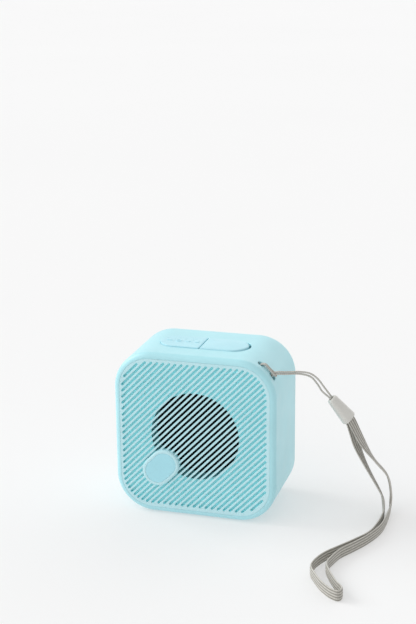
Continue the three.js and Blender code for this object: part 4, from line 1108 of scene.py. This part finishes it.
def make_flap():
    low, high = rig.box("port_flap")
    under, top = Z_TOP - low.z, -FLAP_PROUD

    def outline(grow):
        return cut_strip(low.x - STRIP_FIT, high.x + 2 * STRIP_FIT, "left", grow)

    edge_r, crown = 0.7 * MM, 0.3 * MM
    rim = top + crown
    profile = [(-0.1 * MM, 1.25 * MM), (0, 1.15 * MM)]
    profile += [(-i, rim + o) for i, o in reversed(quarter_turn(edge_r, 6))]
    inner = STRIP_W / 2 - STRIP_FIT - edge_r - 0.4 * MM
    for i in range(1, 9):
        share = i / 8
        profile.append((-edge_r - inner * share, rim - crown * math.sin(share * math.pi / 2)))
    flap = levels("port_cover", outline, on_top, profile)
    for x, outline_of in (
        (6.0 * MM, lambda grow: rounded_rect(8.6 * MM, 2.6 * MM, 1.2 * MM, grow, 6)),
        (14.6 * MM, lambda grow: circle(1.9 * MM + grow, steps=32)),
    ):
        def place(points, below, x=x):
            return on_top([(u + x, v + STRIP_Y) for u, v in points], below)
        join(flap, levels("plug", outline_of, place, [
            (-0.3 * MM, under), (0, under - 0.3 * MM), (0, 0.5 * MM)]))
    smooth(flap)
    dress(flap, SILICONE, "flap", "silicone", "port_flap")


# ---------------------------------------------------------------- feet
def make_feet():
    for foot in ("foot_1", "foot_2"):
        low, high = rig.box(foot)
        r = (high.y - low.y) / 2
        half = (high.x - low.x) / 2 - r
        y = (low.y + high.y) / 2
        edge = 0.25 * MM
        rings = [(i, o) for i, o in quarter_turn(edge, 5)] + [(0, high.z - 0.05 * MM)]
        pad = loft(foot + "_pad", [
            [Vector((u, v, z)) for u, v in stadium(half, r - inset, 0, 0, y, 16)] for inset, z in rings])
        smooth(pad)
        dress(pad, FOOT_SILICONE, "body", "foot_pad", foot)


make_housing()
make_panel()
make_strip()
make_flap()
make_feet()


# ---------------------------------------------------------------- carried-over CAD pieces
INNER = {
    CLOTH: ["acoustic_cloth"],
    FOAM: ["driver_gasket", "spider"],
    DARK_STEEL: ["driver_basket"],
    RUBBER: ["cone_surround"],
    PAPER: ["cone", "dust_cap"],
    COPPER: ["voice_coil"],
    FERRITE: ["magnet"],
    BOARD: ["driver_terminal", "key_board", "port_board", "main_board"],
    CHIP: ["amplifier_chip", "charge_chip"],
    CELL: ["battery_cell"],
    TAPE: ["battery_tape"],
    BLACK_PLASTIC: ["audio_jack", *["tact_plunger_" + name for name in KEYS]],
    SILICONE: ["flap_tether"],
    RED_WIRE: ["speaker_lead_red", "battery_lead_red"],
    BLACK_WIRE: ["speaker_lead_black", "battery_lead_black"],
    STEEL: ["top_plate", "yoke", "charge_port", "wireless_module", *["tact_switch_" + name for name in KEYS]],
}
for number in (1, 2, 3, 4):
    INNER[STEEL] += [f"driver_screw_{number}", f"housing_screw_{number}"]
INNER[STEEL] += ["board_screw_1", "board_screw_2"]
for material, names in INNER.items():
    for name in names:
        node = frame["nodes"][name]
        node.data.materials.clear()
        node.data.materials.append(material)


# ---------------------------------------------------------------- floor and light
def make_floor():
    corners = [(x * FLOOR_REACH, y * FLOOR_REACH, 0) for x, y in ((-1, -1), (1, -1), (1, 1), (-1, 1))]
    floor = new_object("floor", corners, [(0, 1, 2, 3)])
    material, nodes, links, shader = new_material("pale_floor")
    cloudy = object_noise(nodes, links, 2.0)
    tone = mixed(nodes, links, ranged(nodes, links, cloudy, 0, 1), FLOOR_DARK, FLOOR_PALE)
    links.new(tone, shader.inputs["Base Color"])
    shader.inputs["Roughness"].default_value = 0.9
    shader.inputs["Specular IOR Level"].default_value = 0.1
    shader.inputs["Emission Color"].default_value = (1, 1, 1, 1)
    shader.inputs["Emission Strength"].default_value = FLOOR_GLOW
    floor.data.materials.append(material)
    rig.stage(floor)


def make_light():
    """A white studio over a floor that glows a little: broad glows, and a large window from the left."""
    world = bpy.data.worlds.new("studio")
    world.use_nodes = True
    nodes, links = world.node_tree.nodes, world.node_tree.links
    where = nodes.new("ShaderNodeTexCoord").outputs["Generated"]
    total = None
    for toward, strength in GLOWS:
        lobe = nodes.new("ShaderNodeVectorMath")
        lobe.operation = "DOT_PRODUCT"
        lobe.inputs[1].default_value = Vector(toward).normalized()
        links.new(where, lobe.inputs[0])
        lit = nodes.new("ShaderNodeMath")
        lit.operation = "MAXIMUM"
        lit.inputs[1].default_value = 0
        links.new(lobe.outputs["Value"], lit.inputs[0])
        squared = nodes.new("ShaderNodeMath")
        squared.operation = "POWER"
        squared.inputs[1].default_value = 2
        links.new(lit.outputs[0], squared.inputs[0])
        added = nodes.new("ShaderNodeMath")
        added.operation = "MULTIPLY_ADD"
        added.inputs[1].default_value = strength
        added.inputs[2].default_value = 0
        links.new(squared.outputs[0], added.inputs[0])
        if total:
            links.new(total, added.inputs[2])
        total = added.outputs[0]
    nodes["Background"].inputs["Color"].default_value = (1, 1, 1, 1)
    links.new(total, nodes["Background"].inputs["Strength"])
    bpy.context.scene.world = world
    window = bpy.data.objects.new("key", bpy.data.lights.new("key", "SUN"))
    window.data.energy = WINDOW_STRENGTH
    window.data.angle = WINDOW_WIDTH
    window.matrix_world = Vector(WINDOW_FROM).to_track_quat("Z", "Y").to_matrix().to_4x4()
    bpy.context.scene.collection.objects.link(window)
    bpy.context.scene.view_settings.view_transform = "Standard"


make_floor()
make_light()

with open("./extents.json", "w") as size_file:
    json.dump({"cad": cad_box, "visual": [list(corner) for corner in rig.bounds()]}, size_file)
